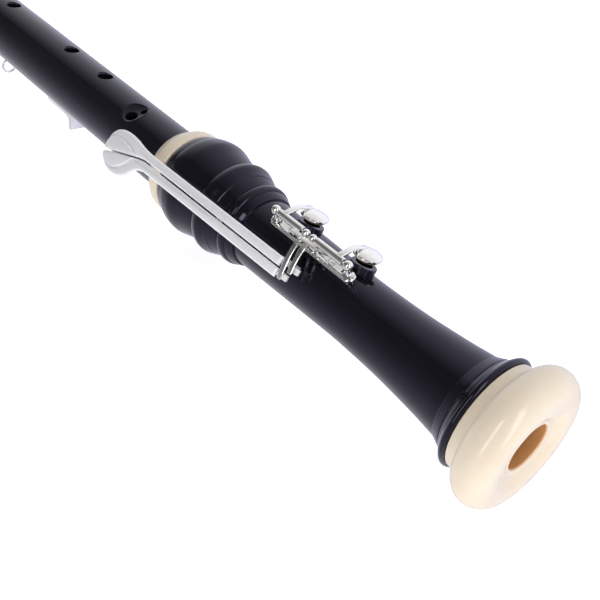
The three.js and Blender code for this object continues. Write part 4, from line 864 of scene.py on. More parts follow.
# Foot joint
def foot_outside():
    low_bead = (LOW_BEAD_START, LOW_BEAD_LENGTH, LOW_BEAD_START_RADIUS, LOW_BEAD_RADIUS)
    big_bead = (BIG_BEAD_START, BIG_BEAD_LENGTH, BIG_BEAD_START_RADIUS, BIG_BEAD_RADIUS)
    half, dip = COLLAR_BEAD_LENGTH / 2, LOW_BEAD_RADIUS - GROOVE_DEPTH / 4
    return [
        *flow(shares(FLANGE_SHARES, FOOT_START, FLANGE_LENGTH, FLANGE_EDGE_RADIUS, FLANGE_RADIUS)),
        *flow(shares(BAND_SHARES, BAND_START, BAND_LENGTH, BAND_EDGE_RADIUS, BAND_RADIUS), BAND_STEPS),
        *flow([
            *shares(NECK_SHARES, NECK_START, NECK_LENGTH, NECK_TOP, NECK_WAIST),
            *shares(NECK_RISE_SHARES, NECK_START, NECK_LENGTH, NECK_WAIST, NECK_END),
        ], NECK_STEPS),
        *flow(shares(LOW_BEAD_SHARES, *low_bead)),
        *arc((COLLAR_BEAD_START + half, dip), half, 180, 0, FOOT_BEAD_STEPS, COLLAR_BEAD_RADIUS - dip),
        (BIG_BEAD_START - GROOVE_WIDTH / 2, BIG_BEAD_START_RADIUS - GROOVE_DEPTH),
        *flow(shares(BIG_BEAD_SHARES, *big_bead)),
        *shares([BIG_BEAD_CUT_SHARE], *big_bead),
        *flow(shares(BIG_BEAD_TOP_SHARES, *big_bead)),
        (BULB_START - GROOVE_WIDTH / 2, BULB_START_RADIUS - GROOVE_DEPTH),
        *flow(shares(BULB_SHARES, BULB_START, BULB_LENGTH, BULB_START_RADIUS, BULB_RADIUS)),
        (RING_GROOVE_START + GAP, RING_GROOVE_RADIUS), (FOOT_RING_SEAT, RING_GROOVE_RADIUS),
    ]


def foot_skin():
    outside = [(place, radius + GAP) for place, radius in foot_outside()]
    return turned([(FOOT_START, 0), *outside, (FOOT_RING_SEAT, 0)])


def pilot(place, angle, top):
    """The hole that a screw's shank goes into."""
    low, high = top - SCREW_LENGTH - GAP, top + OVERRUN
    return drum(SCREW_SHANK_RADIUS + GAP, low, high, standing(place, angle), PILOT_ROUND)


def foot_joint():
    step, root = FOOT_START + SPIGOT_LENGTH + GAP, FOOT_UPPER_BORE + OVERRUN
    inside = [
        (FOOT_RING_SEAT, FOOT_SEAT_RADIUS), (FOOT_END, FOOT_SEAT_RADIUS), (FOOT_END, FOOT_SOCKET_RADIUS),
        (FOOT_SOCKET_FLOOR, FOOT_SOCKET_RADIUS), (FOOT_SOCKET_FLOOR, FOOT_UPPER_BORE),
        (step, FOOT_UPPER_BORE), (step, SPIGOT_RADIUS + GAP), (FOOT_START, SPIGOT_RADIUS + GAP),
    ]
    chimney = [
        (0, root), (CHIMNEY_RADIUS, root), (CHIMNEY_RADIUS, CHIMNEY_TOP - GAP),
        (CHIMNEY_RADIUS - GAP, CHIMNEY_TOP), (0, CHIMNEY_TOP),
    ]
    seats = [standing(POST_START - spot, CUP_ANGLE) for spot in (UPPER_CUP_SPOT, LOWER_CUP_SPOT)]
    holes = [drum(TONE_HOLE_RADIUS, 0, CHIMNEY_TOP + OVERRUN, seat) for seat in seats]
    holes += [pilot(POST_START - spot, HINGE_ANGLE, PLATE_TOP) for spot in PLATE_SCREW_SPOTS]
    holes.append(drum(
        PILLAR_RADIUS + GAP, COLLAR_BEAD_RADIUS - PILLAR_DEPTH - GAP, COLLAR_BEAD_RADIUS + OVERRUN,
        standing(LEVER_AXLE, LEVER_ANGLE), PIN_ROUND,
    ))
    mesh = turned(eased([*foot_outside(), *inside], SLIGHT_EDGE))
    mesh = cut(join(mesh, *[upright(chimney, seat) for seat in seats]), *holes)
    piece("foot_tube", mesh, "black", "foot", "foot_joint")


def foot_end_ring():
    dish_edge = DONUT_CREST_RADIUS - DONUT_CREST_WIDTH / 2
    crest_edge = DONUT_CREST_RADIUS + DONUT_CREST_WIDTH / 2
    turns = [pi * i / DISH_STEPS for i in range(DISH_STEPS + 1)]
    swell = [((1 - cos(turn)) / 2, turn / pi) for turn in turns]
    dish = shares(swell, LIP_RISE, -LIP_RISE - DONUT_CREST, LIP_RADIUS, dish_edge)
    depth, rise = DONUT_FRONT + DONUT_CREST, DONUT_RADIUS - crest_edge
    front = arc((DONUT_FRONT, crest_edge), depth, 180, 90, CREST_STEPS, rise)
    turn = acos(DONUT_BACK_SHARE)
    fall = (DONUT_RADIUS - DONUT_BACK_RADIUS) / (1 - DONUT_BACK_SHARE)
    centre = (DONUT_FRONT, DONUT_RADIUS - fall)
    back = arc(centre, DONUT_BACK / sin(turn), 90, 90 - degrees(turn), rise=fall)
    outline = [
        *dish, *front, *back[1:], (DONUT_END + GAP, END_NECK_RADIUS), (FOOT_START - GAP, END_NECK_RADIUS),
        (FOOT_START - GAP, SPIGOT_RADIUS), (FOOT_START + SPIGOT_LENGTH, SPIGOT_RADIUS),
        (FOOT_START + SPIGOT_LENGTH, BORE), (BORE_CHAMFER, BORE), (0, BORE + BORE_CHAMFER), (0, LIP_RADIUS),
    ]
    piece("end_ring", turned(eased(outline, ROUND_EDGE), END_ROUND), "cream", "foot", "foot_end_ring")


def socket_ring(body, seat, end, seat_radius, joint_radius):
    """The cream ring round the end of a socket. It sits on the seat and laps over the end."""
    way = copysign(1, end - seat)
    start, edge, tip = seat + way * GAP, end + way * GAP, end + way * RING_LIP_LENGTH
    inner = joint_radius + TENON_CLEARANCE
    outline = [
        (start, seat_radius + GAP),
        *flow(shares(RING_SHARES, start, tip - start, inner, seat_radius + RING_WALL)),
        (tip, inner), (edge, inner), (edge, seat_radius + GAP),
    ]
    piece(f"{body}_ring", turned(eased(outline, SOFT_EDGE)), "cream", body, f"{body}_socket_ring")


foot_joint()
foot_end_ring()
socket_ring("foot", FOOT_RING_SEAT, FOOT_END, FOOT_SEAT_RADIUS, MIDDLE_RADIUS)


# Key base plate, screws and posts
def screw(holder, number, body, place, angle, top):
    matrix = standing(place, angle)
    neck, wide = top - SCREW_HEAD_HEIGHT, SCREW_HEAD_RADIUS + OVERRUN
    outline = [
        (0, top), (SCREW_HEAD_RADIUS, top), (SCREW_HEAD_RADIUS, neck), (SCREW_SHANK_RADIUS, neck),
        (SCREW_SHANK_RADIUS, top - SCREW_LENGTH + SCREW_SHANK_RADIUS), (0, top - SCREW_LENGTH),
    ]
    slot = block(-wide, wide, -SLOT_WIDTH / 2, SLOT_WIDTH / 2, top - SLOT_DEPTH, top + OVERRUN, matrix)
    mesh = cut(upright(eased(outline, SLIGHT_EDGE), matrix), slot)
    piece(f"{holder}_fixing_{number}", mesh, "silver", body, f"{holder}_screw_{number}")


def sink(place, angle, top):
    head, shank = SCREW_HEAD_RADIUS + GAP, SCREW_SHANK_RADIUS + GAP
    neck = top - SCREW_HEAD_HEIGHT - GAP
    return upright([
        (0, top + OVERRUN), (head, top + OVERRUN), (head, neck), (shank, neck), (shank, 0), (0, 0),
    ], standing(place, angle))


def base_plate():
    half = PLATE_WIDTH / 2
    far, near = POST_START + PLATE_OVERHANG, OUTER_POSTS[1] - PLATE_OVERHANG
    outline = arc((-near - half, 0), half, -90, 90) + arc((-far + half, 0), half, 90, 270)
    thickness = PLATE_TOP - NECK_WAIST + PLATE_BURY
    plate = slab(outline, PLATE_TOP, thickness, standing(0, HINGE_ANGLE), FINE_EDGE, PLATE_BEVEL)
    places = [POST_START - spot for spot in PLATE_SCREW_SPOTS]
    sinks = [sink(place, HINGE_ANGLE, PLATE_TOP) for place in places]
    piece("plate", cut(plate, foot_skin(), *sinks), "silver", "foot", "key_base_plate")
    for number, place in enumerate(places, 1):
        screw("plate", number, "foot", place, HINGE_ANGLE, PLATE_TOP)


def on_hinge(low, high, radius, sides=SMALL_ROUND):
    """A rod on the hinge line, between two places."""
    mesh = rod(low, high, radius, EASY_EDGE, sides)
    mesh.transform(HINGE)
    return mesh


def ball_post(number, place, ball):
    base = PLATE_TOP + GAP
    foot = POST_FOOT_RADIUS * ball / BALL_RADIUS
    stem = flow([
        (foot, base + POST_FOOT_HEIGHT / 2), (POST_STEM_RADIUS + POST_STEM_FLARE, base + POST_FOOT_HEIGHT),
        (POST_STEM_RADIUS, base + POST_FOOT_HEIGHT * POST_STEM_SHARE),
    ])
    start = degrees(asin(POST_STEM_RADIUS / ball)) - 90
    outline = [(0, base), (foot, base), *stem, *arc((0, HINGE_RADIUS), ball, start, 90, BALL_STEPS)]
    reach = ball + OVERRUN
    hole = on_hinge(place - reach, place + reach, ROD_RADIUS + GAP, PIN_ROUND)
    mesh = cut(upright(outline, standing(place, HINGE_ANGLE)), hole)
    piece(f"ball_post_{number}", mesh, "silver", "foot", f"post_{number}")


def hinge_rod(side, outer_post, inner_post):
    way = copysign(1, outer_post - inner_post)
    outer = outer_post + way * BALL_RADIUS * ROD_REACH_SHARE
    inner = inner_post - way * INNER_BALL_RADIUS * ROD_REACH_SHARE
    deep, wide, half = -outer + way * SLOT_DEPTH, -outer - way * OVERRUN, SLOT_WIDTH / 2
    matrix = HINGE @ Matrix.Rotation(radians(SLOT_TURN), 4, "X")
    slot = block(deep, wide, -OVERRUN, OVERRUN, -half, half, matrix)
    shaft = on_hinge(*sorted((inner, outer)), ROD_RADIUS, PIN_ROUND)
    piece(f"rod_{side}", cut(shaft, slot), "silver", "foot", f"hinge_rod_{side}")


base_plate()
ball_post(1, OUTER_POSTS[0], BALL_RADIUS)
ball_post(2, INNER_POSTS[0], INNER_BALL_RADIUS)
ball_post(3, INNER_POSTS[1], INNER_BALL_RADIUS)
ball_post(4, OUTER_POSTS[1], BALL_RADIUS)
hinge_rod("upper", OUTER_POSTS[0], INNER_POSTS[0])
hinge_rod("lower", OUTER_POSTS[1], INNER_POSTS[1])


# Keys
def opened(mesh, angle):
    mesh.transform(HINGE @ Matrix.Rotation(radians(angle), 4, "X") @ HINGE.inverted())
    return mesh


def cup_seat(place):
    return standing(place, CUP_ANGLE, CHIMNEY_TOP + PAD_SHUT_GAP + PAD_PROUD)


def cross_arm(root, tip_angle, end, way):
    """The slanted band, and the bar and web that carry it from the end of the key's tube."""
    low, high = 90 - HINGE_ANGLE + ARM_ROOT_TURN, 90 - tip_angle
    outline = arc((0, 0), ARM_OUTER_RADIUS, low, high, CREST_STEPS)
    outline += arc((0, 0), ARM_OUTER_RADIUS - ARM_THICKNESS, high, low, CREST_STEPS)
    band = crosswise(outline, root, ARM_WIDTH, ARM_BEVEL)
    band.transform(Matrix((
        (1, -ARM_SLANT, 0, ARM_SLANT * HINGE_Y), (0, 1, 0, 0), (0, 0, 1, 0), (0, 0, 0, 1),
    )))
    inside, outside = end + way * ARM_ROOT_REACH, root - way * ARM_WIDTH / 2
    matrix = standing(0, HINGE_ANGLE, HINGE_RADIUS)
    side, half = -INNER_BALL_RADIUS - GAP, ARM_ROOT_HEIGHT / 2
    bar = block(-inside, -outside, side - ARM_ROOT_DEPTH, side, -half, half, matrix, SOFT_EDGE)
    web = block(-inside, -end, side - ARM_ROOT_DEPTH / 2, 0, -half, half, matrix, SOFT_EDGE)
    return [band, bar, web]


def pad_arm(place, cup_place):
    top = cup_seat(cup_place) @ Vector((0, 0, CUP_DOME))
    root = HINGE_Z + KEY_TUBE_RADIUS
    ridge = HINGE_Y + (top.y - HINGE_Y) * PAD_RIDGE_SHARE
    crest = HINGE_Z + RIDGE_RISE + KEY_TUBE_RADIUS * PAD_HUMP_SHARE
    thick = PAD_ARM_THICKNESS
    (ridge_in, ridge_under), (root_in, root_under) = PAD_ARM_UNDER_SHARES
    return crosswise([
        (HINGE_Y, root),
        (ridge, crest),
        *[(top.y + thick * out, top.z + thick * up) for out, up in PAD_ARM_TOP_SHARES],
        (ridge + thick * ridge_in, crest + thick * ridge_under),
        (HINGE_Y + KEY_TUBE_RADIUS * root_in, root + thick * root_under),
    ], place, PAD_ARM_WIDTH, ARM_BEVEL * PAD_ARM_BEVEL_SHARE)


def pad_cup(place):
    dome = flow([(CUP_RADIUS * out, CUP_BRIM + (CUP_DOME - CUP_BRIM) * up) for out, up in CUP_DOME_SHARES])
    inner = PAD_RADIUS + GAP
    outline = [(0, CUP_RECESS), (inner, CUP_RECESS), (inner, 0), (CUP_RADIUS, 0), *dome]
    return upright(eased([(max(0, r), h) for r, h in outline], SOFT_EDGE), cup_seat(place), WIDE_ROUND)


def key(side, way, arm_spot, tip_angle, pad_arm_spot, cup_spot, opening):
    low, high = KEY_TUBES[side]
    cup = POST_START - cup_spot
    body = f"{side}_key"
    arm = cross_arm(POST_START - arm_spot, tip_angle, low if way > 0 else high, way)
    lifted = [opened(mesh, opening) for mesh in (pad_arm(POST_START - pad_arm_spot, cup), pad_cup(cup))]
    bore = on_hinge(low - 4 * OVERRUN, high + 4 * OVERRUN, ROD_RADIUS + GAP, PIN_ROUND)
    mesh = cut(join(on_hinge(low, high, KEY_TUBE_RADIUS), *arm, *lifted), bore)
    piece(f"{side}_key_arm", mesh, "silver", body, body)
    pad = drum(PAD_RADIUS, -PAD_PROUD, CUP_RECESS - GAP, cup_seat(cup), HOLE_ROUND, PAD_EDGE)
    piece(f"{side}_key_pad", opened(pad, opening), "pad", body, f"{side}_pad")


key(
    "upper", 1, UPPER_ARM_SPOT, UPPER_ARM_TIP_ANGLE, UPPER_PAD_ARM_SPOT, UPPER_CUP_SPOT, UPPER_KEY_OPENING,
)
key(
    "lower", -1, LOWER_ARM_SPOT, LOWER_ARM_TIP_ANGLE, LOWER_PAD_ARM_SPOT, LOWER_CUP_SPOT, LOWER_KEY_OPENING,
)


# Long levers
LEVER_FRAME = standing(LEVER_AXLE, LEVER_ANGLE, AXLE_RADIAL, LEVER_SLOPE)


def touch_points(side):
    table = TOUCH_OUTER_SHARES if side > 0 else LOW_TOUCH_OUTER_SHARES
    outer = LEVER_GAP / 2 + LEVER_WIDTH
    return flow([
        (-BAR_END - along * TOUCH_LENGTH, side * (outer + across * TOUCH_WIDTH)) for along, across in table
    ])


def split_points(table, inner):
    return [Vector((-BAR_END - along * TOUCH_LENGTH, inner - kick * TOUCH_KICK)) for along, kick in table]


def lever_outline(side, reach):
    inner, outer = side * LEVER_GAP / 2, side * (LEVER_GAP / 2 + LEVER_WIDTH)
    rim = touch_points(side)
    split = split_points(SPLIT_SHARES, inner)
    tip = (rim[-1].x + TOUCH_LENGTH * TOUCH_TIP_SHARE, (rim[-1].y + split[0].y) / 2)
    return [(reach, inner), (reach, outer), *rim, tip, *split]


def leaf_outline(side, share):
    start, centre = split_points(LEAF_SHARES, side * LEVER_GAP)
    return [start, *[centre.lerp(point, share) for point in touch_points(side)[LEAF_SKIP * 2:]], centre]


def scored(outline, depth):
    """A cutter that scores the lever's top to a depth within the outline."""
    return slab(outline, LEVER_TOP + OVERRUN, OVERRUN + depth, LEVER_FRAME)


def tongue_outline(bar_reach, reach, dips):
    top = AXLE_DROP - TONGUE_DROP
    low = top - TONGUE_DIP if dips else top
    start, ramp_end = bar_reach - TONGUE_RAMP, TONGUE_DIP_END + TONGUE_RAMP
    return [
        (TONGUE_START, AXLE_DROP + LEVER_BEVEL), (start, AXLE_DROP + LEVER_BEVEL),
        (start, top), (bar_reach, low), *([(TONGUE_DIP_END, low), (ramp_end, top)] if dips else []),
        (reach, top), (reach, top - TONGUE_THICKNESS),
        *([
            (ramp_end + TONGUE_RAMP, top - TONGUE_THICKNESS), (ramp_end, low - TONGUE_THICKNESS),
        ] if dips else []),
        (start, low - TONGUE_THICKNESS), (TONGUE_START, AXLE_DROP - GAP),
    ]


def lever(name, side, bar_reach, reach, dips):
    """A bar with its touch. The leaf's edge runs on as a line that dies at the gap's chamfer."""
    plan = slab(
        lever_outline(side, bar_reach), LEVER_TOP, LEVER_THICKNESS, LEVER_FRAME, EASY_EDGE, LEVER_BEVEL,
        LEVER_BEVEL_SIDE,
    )
    leaf = slab(
        leaf_outline(side, LEAF_INSET_SHARE), LEVER_TOP + LEAF_RISE, LEAF_RISE + LEVER_BEVEL + GAP,
        LEVER_FRAME, EASY_EDGE, LEAF_BEVEL,
    )
    line = [
        (along * BAR_END, side * (LEVER_GAP / 2 + across * LEVER_WIDTH)) for along, across in LINE_SHARES
    ]
    plan = cut(plan, scored(leaf_outline(side, LEAF_LINE_SHARE), LEAF_LINE_DEPTH), scored(line, LINE_DEPTH))
    inner = side * TONGUE_OFFSET - TONGUE_WIDTH / 2
    outline = tongue_outline(bar_reach, reach, dips)
    tongue = lengthwise(outline, inner, inner + TONGUE_WIDTH, LEVER_FRAME, FINE_EDGE)
    near, root = PILLAR_HEAD_WIDTH / 2 + GAP, AXLE_DROP + LEVER_BEVEL
    low = near if side > 0 else -near - LUG_THICKNESS
    outline = [(-LUG_RADIUS, root), *arc((0, 0), LUG_RADIUS, 180, 360), (LUG_RADIUS, root)]
    lug = lengthwise(outline, low, low + LUG_THICKNESS, LEVER_FRAME, CRISP_EDGE)
    hole = drum(AXLE_RADIUS + GAP, -2 * LEVER_WIDTH, 2 * LEVER_WIDTH, LEVER_FRAME @ ACROSS, PIN_ROUND)
    piece(f"{name}_bar", cut(join(plan, leaf, tongue, lug), hole), "satin", name, name)


def lever_axle():
    half = PILLAR_HEAD_WIDTH / 2 + GAP + LUG_THICKNESS + GAP
    mesh = drum(AXLE_RADIUS, -half, half, LEVER_FRAME @ ACROSS, PIN_ROUND, SLIGHT_EDGE)
    piece("axle_pin", mesh, "steel", "foot", "lever_axle")


def lever_pillar():
    base = standing(LEVER_AXLE, LEVER_ANGLE)
    wide, top = PILLAR_HEAD_WIDTH / 2, AXLE_RADIAL - LUG_RADIUS - GAP
    head = drum(PILLAR_HEAD_RADIUS, -wide, wide, LEVER_FRAME @ ACROSS, ease=EASY_EDGE)
    shaft = drum(PILLAR_RADIUS, COLLAR_BEAD_RADIUS - PILLAR_DEPTH, top, base)
    neck = block(-PILLAR_RADIUS, PILLAR_RADIUS, -wide, wide, top - GAP, AXLE_RADIAL, base, FINE_EDGE)
    hole = drum(AXLE_RADIUS + GAP, -2 * wide, 2 * wide, LEVER_FRAME @ ACROSS, PIN_ROUND)
    piece("pillar", cut(join(head, shaft, neck), hole), "silver", "foot", "lever_pillar")


lever("lever_a", 1, LOWER_LEVER_REACH, LOWER_TONGUE_REACH, True)
lever("lever_b", -1, UPPER_LEVER_REACH, UPPER_TONGUE_REACH, False)
lever_axle()
lever_pillar()


# Middle joint
STRAP_FRAME = standing(STRAP_PLACE, BACK_ANGLE)


def middle_joint():
    low_end, high_end = MIDDLE_START - LOW_TENON_LENGTH, MIDDLE_END + HIGH_TENON_LENGTH
    low_cork, high_cork = MIDDLE_START - CORK_INSET, MIDDLE_END + CORK_INSET
    outline = [
        (low_end, MIDDLE_LOW_BORE),
        (low_end, LOW_TENON_RADIUS - RING_EDGE),
        (low_end + RING_EDGE, LOW_TENON_RADIUS),
        *groove(low_cork - CORK_LENGTH, low_cork, LOW_TENON_RADIUS, CORK_DEPTH),
        (MIDDLE_START, LOW_TENON_RADIUS),
        *stretch(MIDDLE_START, TAPER_START, MIDDLE_RADIUS, MIDDLE_RADIUS),
        *stretch(TAPER_START, MIDDLE_END, MIDDLE_RADIUS, MIDDLE_TOP_RADIUS)[1:],
        (MIDDLE_END, HIGH_TENON_RADIUS),
        *groove(high_cork, high_cork + CORK_LENGTH, HIGH_TENON_RADIUS, CORK_DEPTH),
        (high_end - RING_EDGE, HIGH_TENON_RADIUS),
        (high_end, HIGH_TENON_RADIUS - RING_EDGE),
        (high_end, MIDDLE_HIGH_BORE),
    ]
    tools = [
        *double_hole(),
        *[finger_hole(MIDDLE_START + spot, 0, FINGER_HOLE_RADIUS) for spot in FINGER_HOLE_SPOTS],
        finger_hole(MIDDLE_START + THUMB_HOLE_SPOT, BACK_ANGLE, THUMB_HOLE_RADIUS),
        *[pilot(place, BACK_ANGLE, top) for place, top in REST_SCREWS + STRAP_SCREWS],
    ]
    piece("middle_tube", cut(turned(eased(outline, EASY_EDGE)), *tools), "black", "middle", "middle_joint")


def double_hole():
    """Two holes in a shallow dish, whose rim follows the joint's round outside."""
    matrix = standing(MIDDLE_START + DOUBLE_HOLE_SPOT, DOUBLE_HOLE_ANGLE)
    scoop = flow([(DISH_RADIUS * out, MIDDLE_RADIUS - DISH_DEPTH * down) for out, down in DISH_SHARES])
    outline = [*[(max(0, r), h) for r, h in scoop], (DISH_RADIUS, HOLE_REACH), (0, HOLE_REACH)]
    dish = upright(outline, STRAIGHT, WIDE_ROUND)
    for vertex in dish.verts:
        vertex.co.z -= MIDDLE_RADIUS - sqrt(MIDDLE_RADIUS ** 2 - vertex.co.y ** 2)
    dish.transform(matrix)
    big = matrix @ Matrix.Translation((*BIG_HOLE_PLACE, 0))
    small = matrix @ Matrix.Translation((*SMALL_HOLE_PLACE, 0))
    return [
        dish, drum(BIG_HOLE_RADIUS, 0, HOLE_REACH, big, HOLE_ROUND),
        drum(SMALL_HOLE_RADIUS, 0, HOLE_REACH, small, SMALL_HOLE_ROUND),
    ]


def finger_hole(place, angle, radius):
    flare = flow([
        (radius + FINGER_HOLE_FLARE * out, MIDDLE_RADIUS + FINGER_HOLE_FLARE * up)
        for out, up in FINGER_HOLE_FLARE_SHARES
    ])
    outline = [(0, 0), (radius, 0), *flare, (radius + FINGER_HOLE_FLARE, HOLE_REACH), (0, HOLE_REACH)]
    return upright(outline, standing(place, angle), HOLE_ROUND)


def middle_skin():
    skin, top = MIDDLE_RADIUS + GAP, MIDDLE_TOP_RADIUS + GAP
    return turned([
        (MIDDLE_START, 0), (MIDDLE_START, skin), (TAPER_START, skin), (MIDDLE_END, top), (MIDDLE_END, 0),
    ])


def thumb_rest():
    foot, tip = REST_LENGTH / 2, REST_TOP + HOOK_RISE
    (root_in, root_up), (tip_in, _) = HOOK_SHARES
    outline = [
        (-foot, FITTING_BOTTOM), (-foot, REST_TOP), (foot - HOOK_RISE, REST_TOP),
        (foot + HOOK_THICKNESS * root_in, REST_TOP + HOOK_THICKNESS * root_up),
        (foot + HOOK_THICKNESS * tip_in, tip), (foot, tip), (foot, FITTING_BOTTOM),
    ]
    half, matrix = REST_WIDTH / 2, standing(REST_PLACE, BACK_ANGLE)
    rest = lengthwise(eased(outline, HOOK_EDGE), -half, half, matrix, GRIP_EDGE)
    sinks = [sink(place, BACK_ANGLE, top) for place, top in REST_SCREWS]
    piece("rest", cut(rest, middle_skin(), *sinks), "silver", "middle", "thumb_rest")


def strap_plate():
    long, wide, half = STRAP_LENGTH / 2, STRAP_WIDTH / 2, LUG_EYE_WIDTH / 2
    plate = block(-long, long, -wide, wide, FITTING_BOTTOM, STRAP_TOP, STRAP_FRAME, GRIP_EDGE)
    across = STRAP_FRAME @ Matrix.Translation((0, 0, EYE_HEIGHT)) @ ACROSS
    lug = drum(LUG_EYE_RADIUS, -half, half, across, ease=ROUND_EDGE)
    hole = drum(LUG_HOLE_RADIUS, -2 * half, 2 * half, across)
    sinks = [sink(place, BACK_ANGLE, top) for place, top in STRAP_SCREWS]
    mesh = cut(join(plate, lug), middle_skin(), hole, *sinks)
    piece("strap_base", mesh, "silver", "middle", "strap_plate")


def strap_ring():
    wire = arc((STRAP_RING_RADIUS, 0), STRAP_WIRE_RADIUS, 0, 360, CREST_STEPS)[:-1]
    centre = Matrix.Translation((0, 0, EYE_HEIGHT + STRAP_RING_RADIUS))
    swing = STRAP_FRAME @ centre @ Matrix.Rotation(radians(90), 4, "Y")
    piece("ring_wire", upright(wire, swing, WIDE_ROUND), "silver", "strap_ring", "strap_ring")


middle_joint()
thumb_rest()
strap_plate()
for holder, fixings in (("thumb_rest", REST_SCREWS), ("strap_plate", STRAP_SCREWS)):
    for number, (place, top) in enumerate(fixings, 1):
        screw(holder, number, "middle", place, BACK_ANGLE, top)
strap_ring()


# Head joint, block, cap and crook
def head_joint():
    bulb = HEAD_RING_SEAT + RING_GROOVE_LENGTH
    bead = bulb + BULB_LENGTH + GROOVE_WIDTH
    ledge = HEAD_SEAT_RADIUS + RING_WALL - RING_EDGE
    dip, half = HEAD_TUBE_RADIUS + GROOVE_DEPTH, COLLAR_BEAD_LENGTH / 2
    crest = HEAD_TUBE_RADIUS + HEAD_BEAD_RISE
    rise = [share for share in BULB_SHARES if share[0] <= BULB_CREST_SHARE]
    tube_start, tube_end = bead + COLLAR_BEAD_LENGTH + GROOVE_WIDTH, CAP_START - GAP
    seal = CAP_START + (CAP_TENON_LENGTH - SEAL_LENGTH) / 2
    outline = [
        (HEAD_START, HEAD_SOCKET_RADIUS), (HEAD_START, HEAD_SEAT_RADIUS),
        (HEAD_RING_SEAT, HEAD_SEAT_RADIUS), (HEAD_RING_SEAT, ledge - GROOVE_DEPTH),
        (bulb - GAP, ledge - GROOVE_DEPTH),
        *flow([
            *shares(rise, bulb, BULB_LENGTH, ledge, HEAD_BULB_RADIUS),
            *shares(HEAD_BULB_FALL_SHARES, bulb, BULB_LENGTH, crest, HEAD_BULB_RADIUS),
        ]),
        (bead - GROOVE_WIDTH / 2, dip),
        *arc((bead + half, dip), half, 180, 0, HEAD_BEAD_STEPS, crest - dip),
        *stretch(tube_start, tube_end, HEAD_TUBE_RADIUS, HEAD_TUBE_RADIUS),
        (tube_end, CAP_TENON_RADIUS),
        *groove(seal, seal + SEAL_LENGTH, CAP_TENON_RADIUS, SEAL_DEPTH),
        (HEAD_END, CAP_TENON_RADIUS), (HEAD_END, HEAD_BORE),
        (HEAD_SOCKET_FLOOR, HEAD_BORE), (HEAD_SOCKET_FLOOR, HEAD_SOCKET_RADIUS),
    ]
    outside, ramp_end = HEAD_TUBE_RADIUS + OVERRUN, RAMP_LENGTH - WINDOW_START
    window = lengthwise([
        (-WINDOW_END, 0), (-WINDOW_END, outside), (ramp_end, outside), (ramp_end, HEAD_TUBE_RADIUS),
        (-WINDOW_START, WINDWAY_FLOOR + LIP_HEIGHT), (-WINDOW_START, 0),
    ], -WINDOW_WIDTH / 2, WINDOW_WIDTH / 2)
    windway = block(
        -HEAD_END - OVERRUN, -WINDOW_END + OVERRUN, -WINDWAY_WIDTH / 2, WINDWAY_WIDTH / 2,
        0, WINDWAY_FLOOR + WINDWAY_HEIGHT,
    )
    mesh = cut(turned(eased(outline, EASY_EDGE)), window, windway)
    piece("head_tube", mesh, "black", "head", "head_joint")


def windway_block():
    start = WINDOW_END + GAP
    low, high = WINDWAY_FLOOR - GAP, HEAD_BORE + OVERRUN
    flat = block(-HEAD_END - OVERRUN, -start + OVERRUN, -HEAD_BORE, HEAD_BORE, low, high)
    mesh = cut(rod(start, HEAD_END, HEAD_BORE - GAP, ROUND_EDGE), flat)
    piece("block", mesh, "cream", "head", "windway_block")


def cap():
    socket = CAP_TENON_RADIUS + TENON_CLEARANCE
    spigot, outer = socket + CAP_RING_WALL, socket + CAP_WALL
    bore = CROOK_RADIUS + 2 * GAP + FERRULE_WALL * FERRULE_BORE_SHARE
    ferrule = bore + FERRULE_WALL * (1 - FERRULE_BORE_SHARE)
    chamber, ring_end = HEAD_END + CAP_CHAMBER_LENGTH, CAP_START + CAP_RING_LENGTH
    root, tip = CAP_END - FERRULE_SPIGOT, CAP_END + FERRULE_LENGTH
    lip = ferrule + FERRULE_WALL * FERRULE_LIP_SHARES[0][1]
    piece("cap", turned(eased([
        (CAP_START, socket), (CAP_START, spigot), (ring_end, spigot),
        (ring_end, outer - RING_EDGE), (ring_end + RING_EDGE, outer),
        *flow(shares(CAP_TOP_SHARES, HEAD_END, CAP_CHAMBER_LENGTH, outer, outer + GROOVE_DEPTH)),
        *flow([
            *shares(CAP_END_SHARES, chamber, CAP_END_WALL, outer, outer - CAP_WALL),
            (CAP_END, ferrule + CAP_WALL),
        ]),
        (CAP_END, ferrule + GAP), (chamber, ferrule + GAP), (chamber, CAP_CHAMBER_RADIUS),
        (HEAD_END + GAP, CAP_CHAMBER_RADIUS), (HEAD_END + GAP, socket),
    ], ROUND_EDGE)), "black", "cap", "head_cap")
    piece("cap_band", turned(eased([
        (CAP_START, spigot + GAP),
        *flow([
            *shares(CAP_RING_SHARES, CAP_START, CAP_RING_LENGTH, outer, outer + CAP_RING_PROUD),
            (ring_end - GAP, outer),
        ]),
        (ring_end - GAP, spigot + GAP),
    ], SOFT_EDGE)), "cream", "cap", "cap_ring")
    piece("ferrule", turned(eased([
        (root, bore), (root, ferrule), (CAP_END + GAP, ferrule), (CAP_END + GAP, lip),
        *shares(FERRULE_LIP_SHARES, CAP_END, FERRULE_LENGTH, ferrule, ferrule + FERRULE_WALL),
        (tip, ferrule), (tip, bore),
    ], ROUND_EDGE), RIM_ROUND), "silver", "cap", "crook_ferrule")


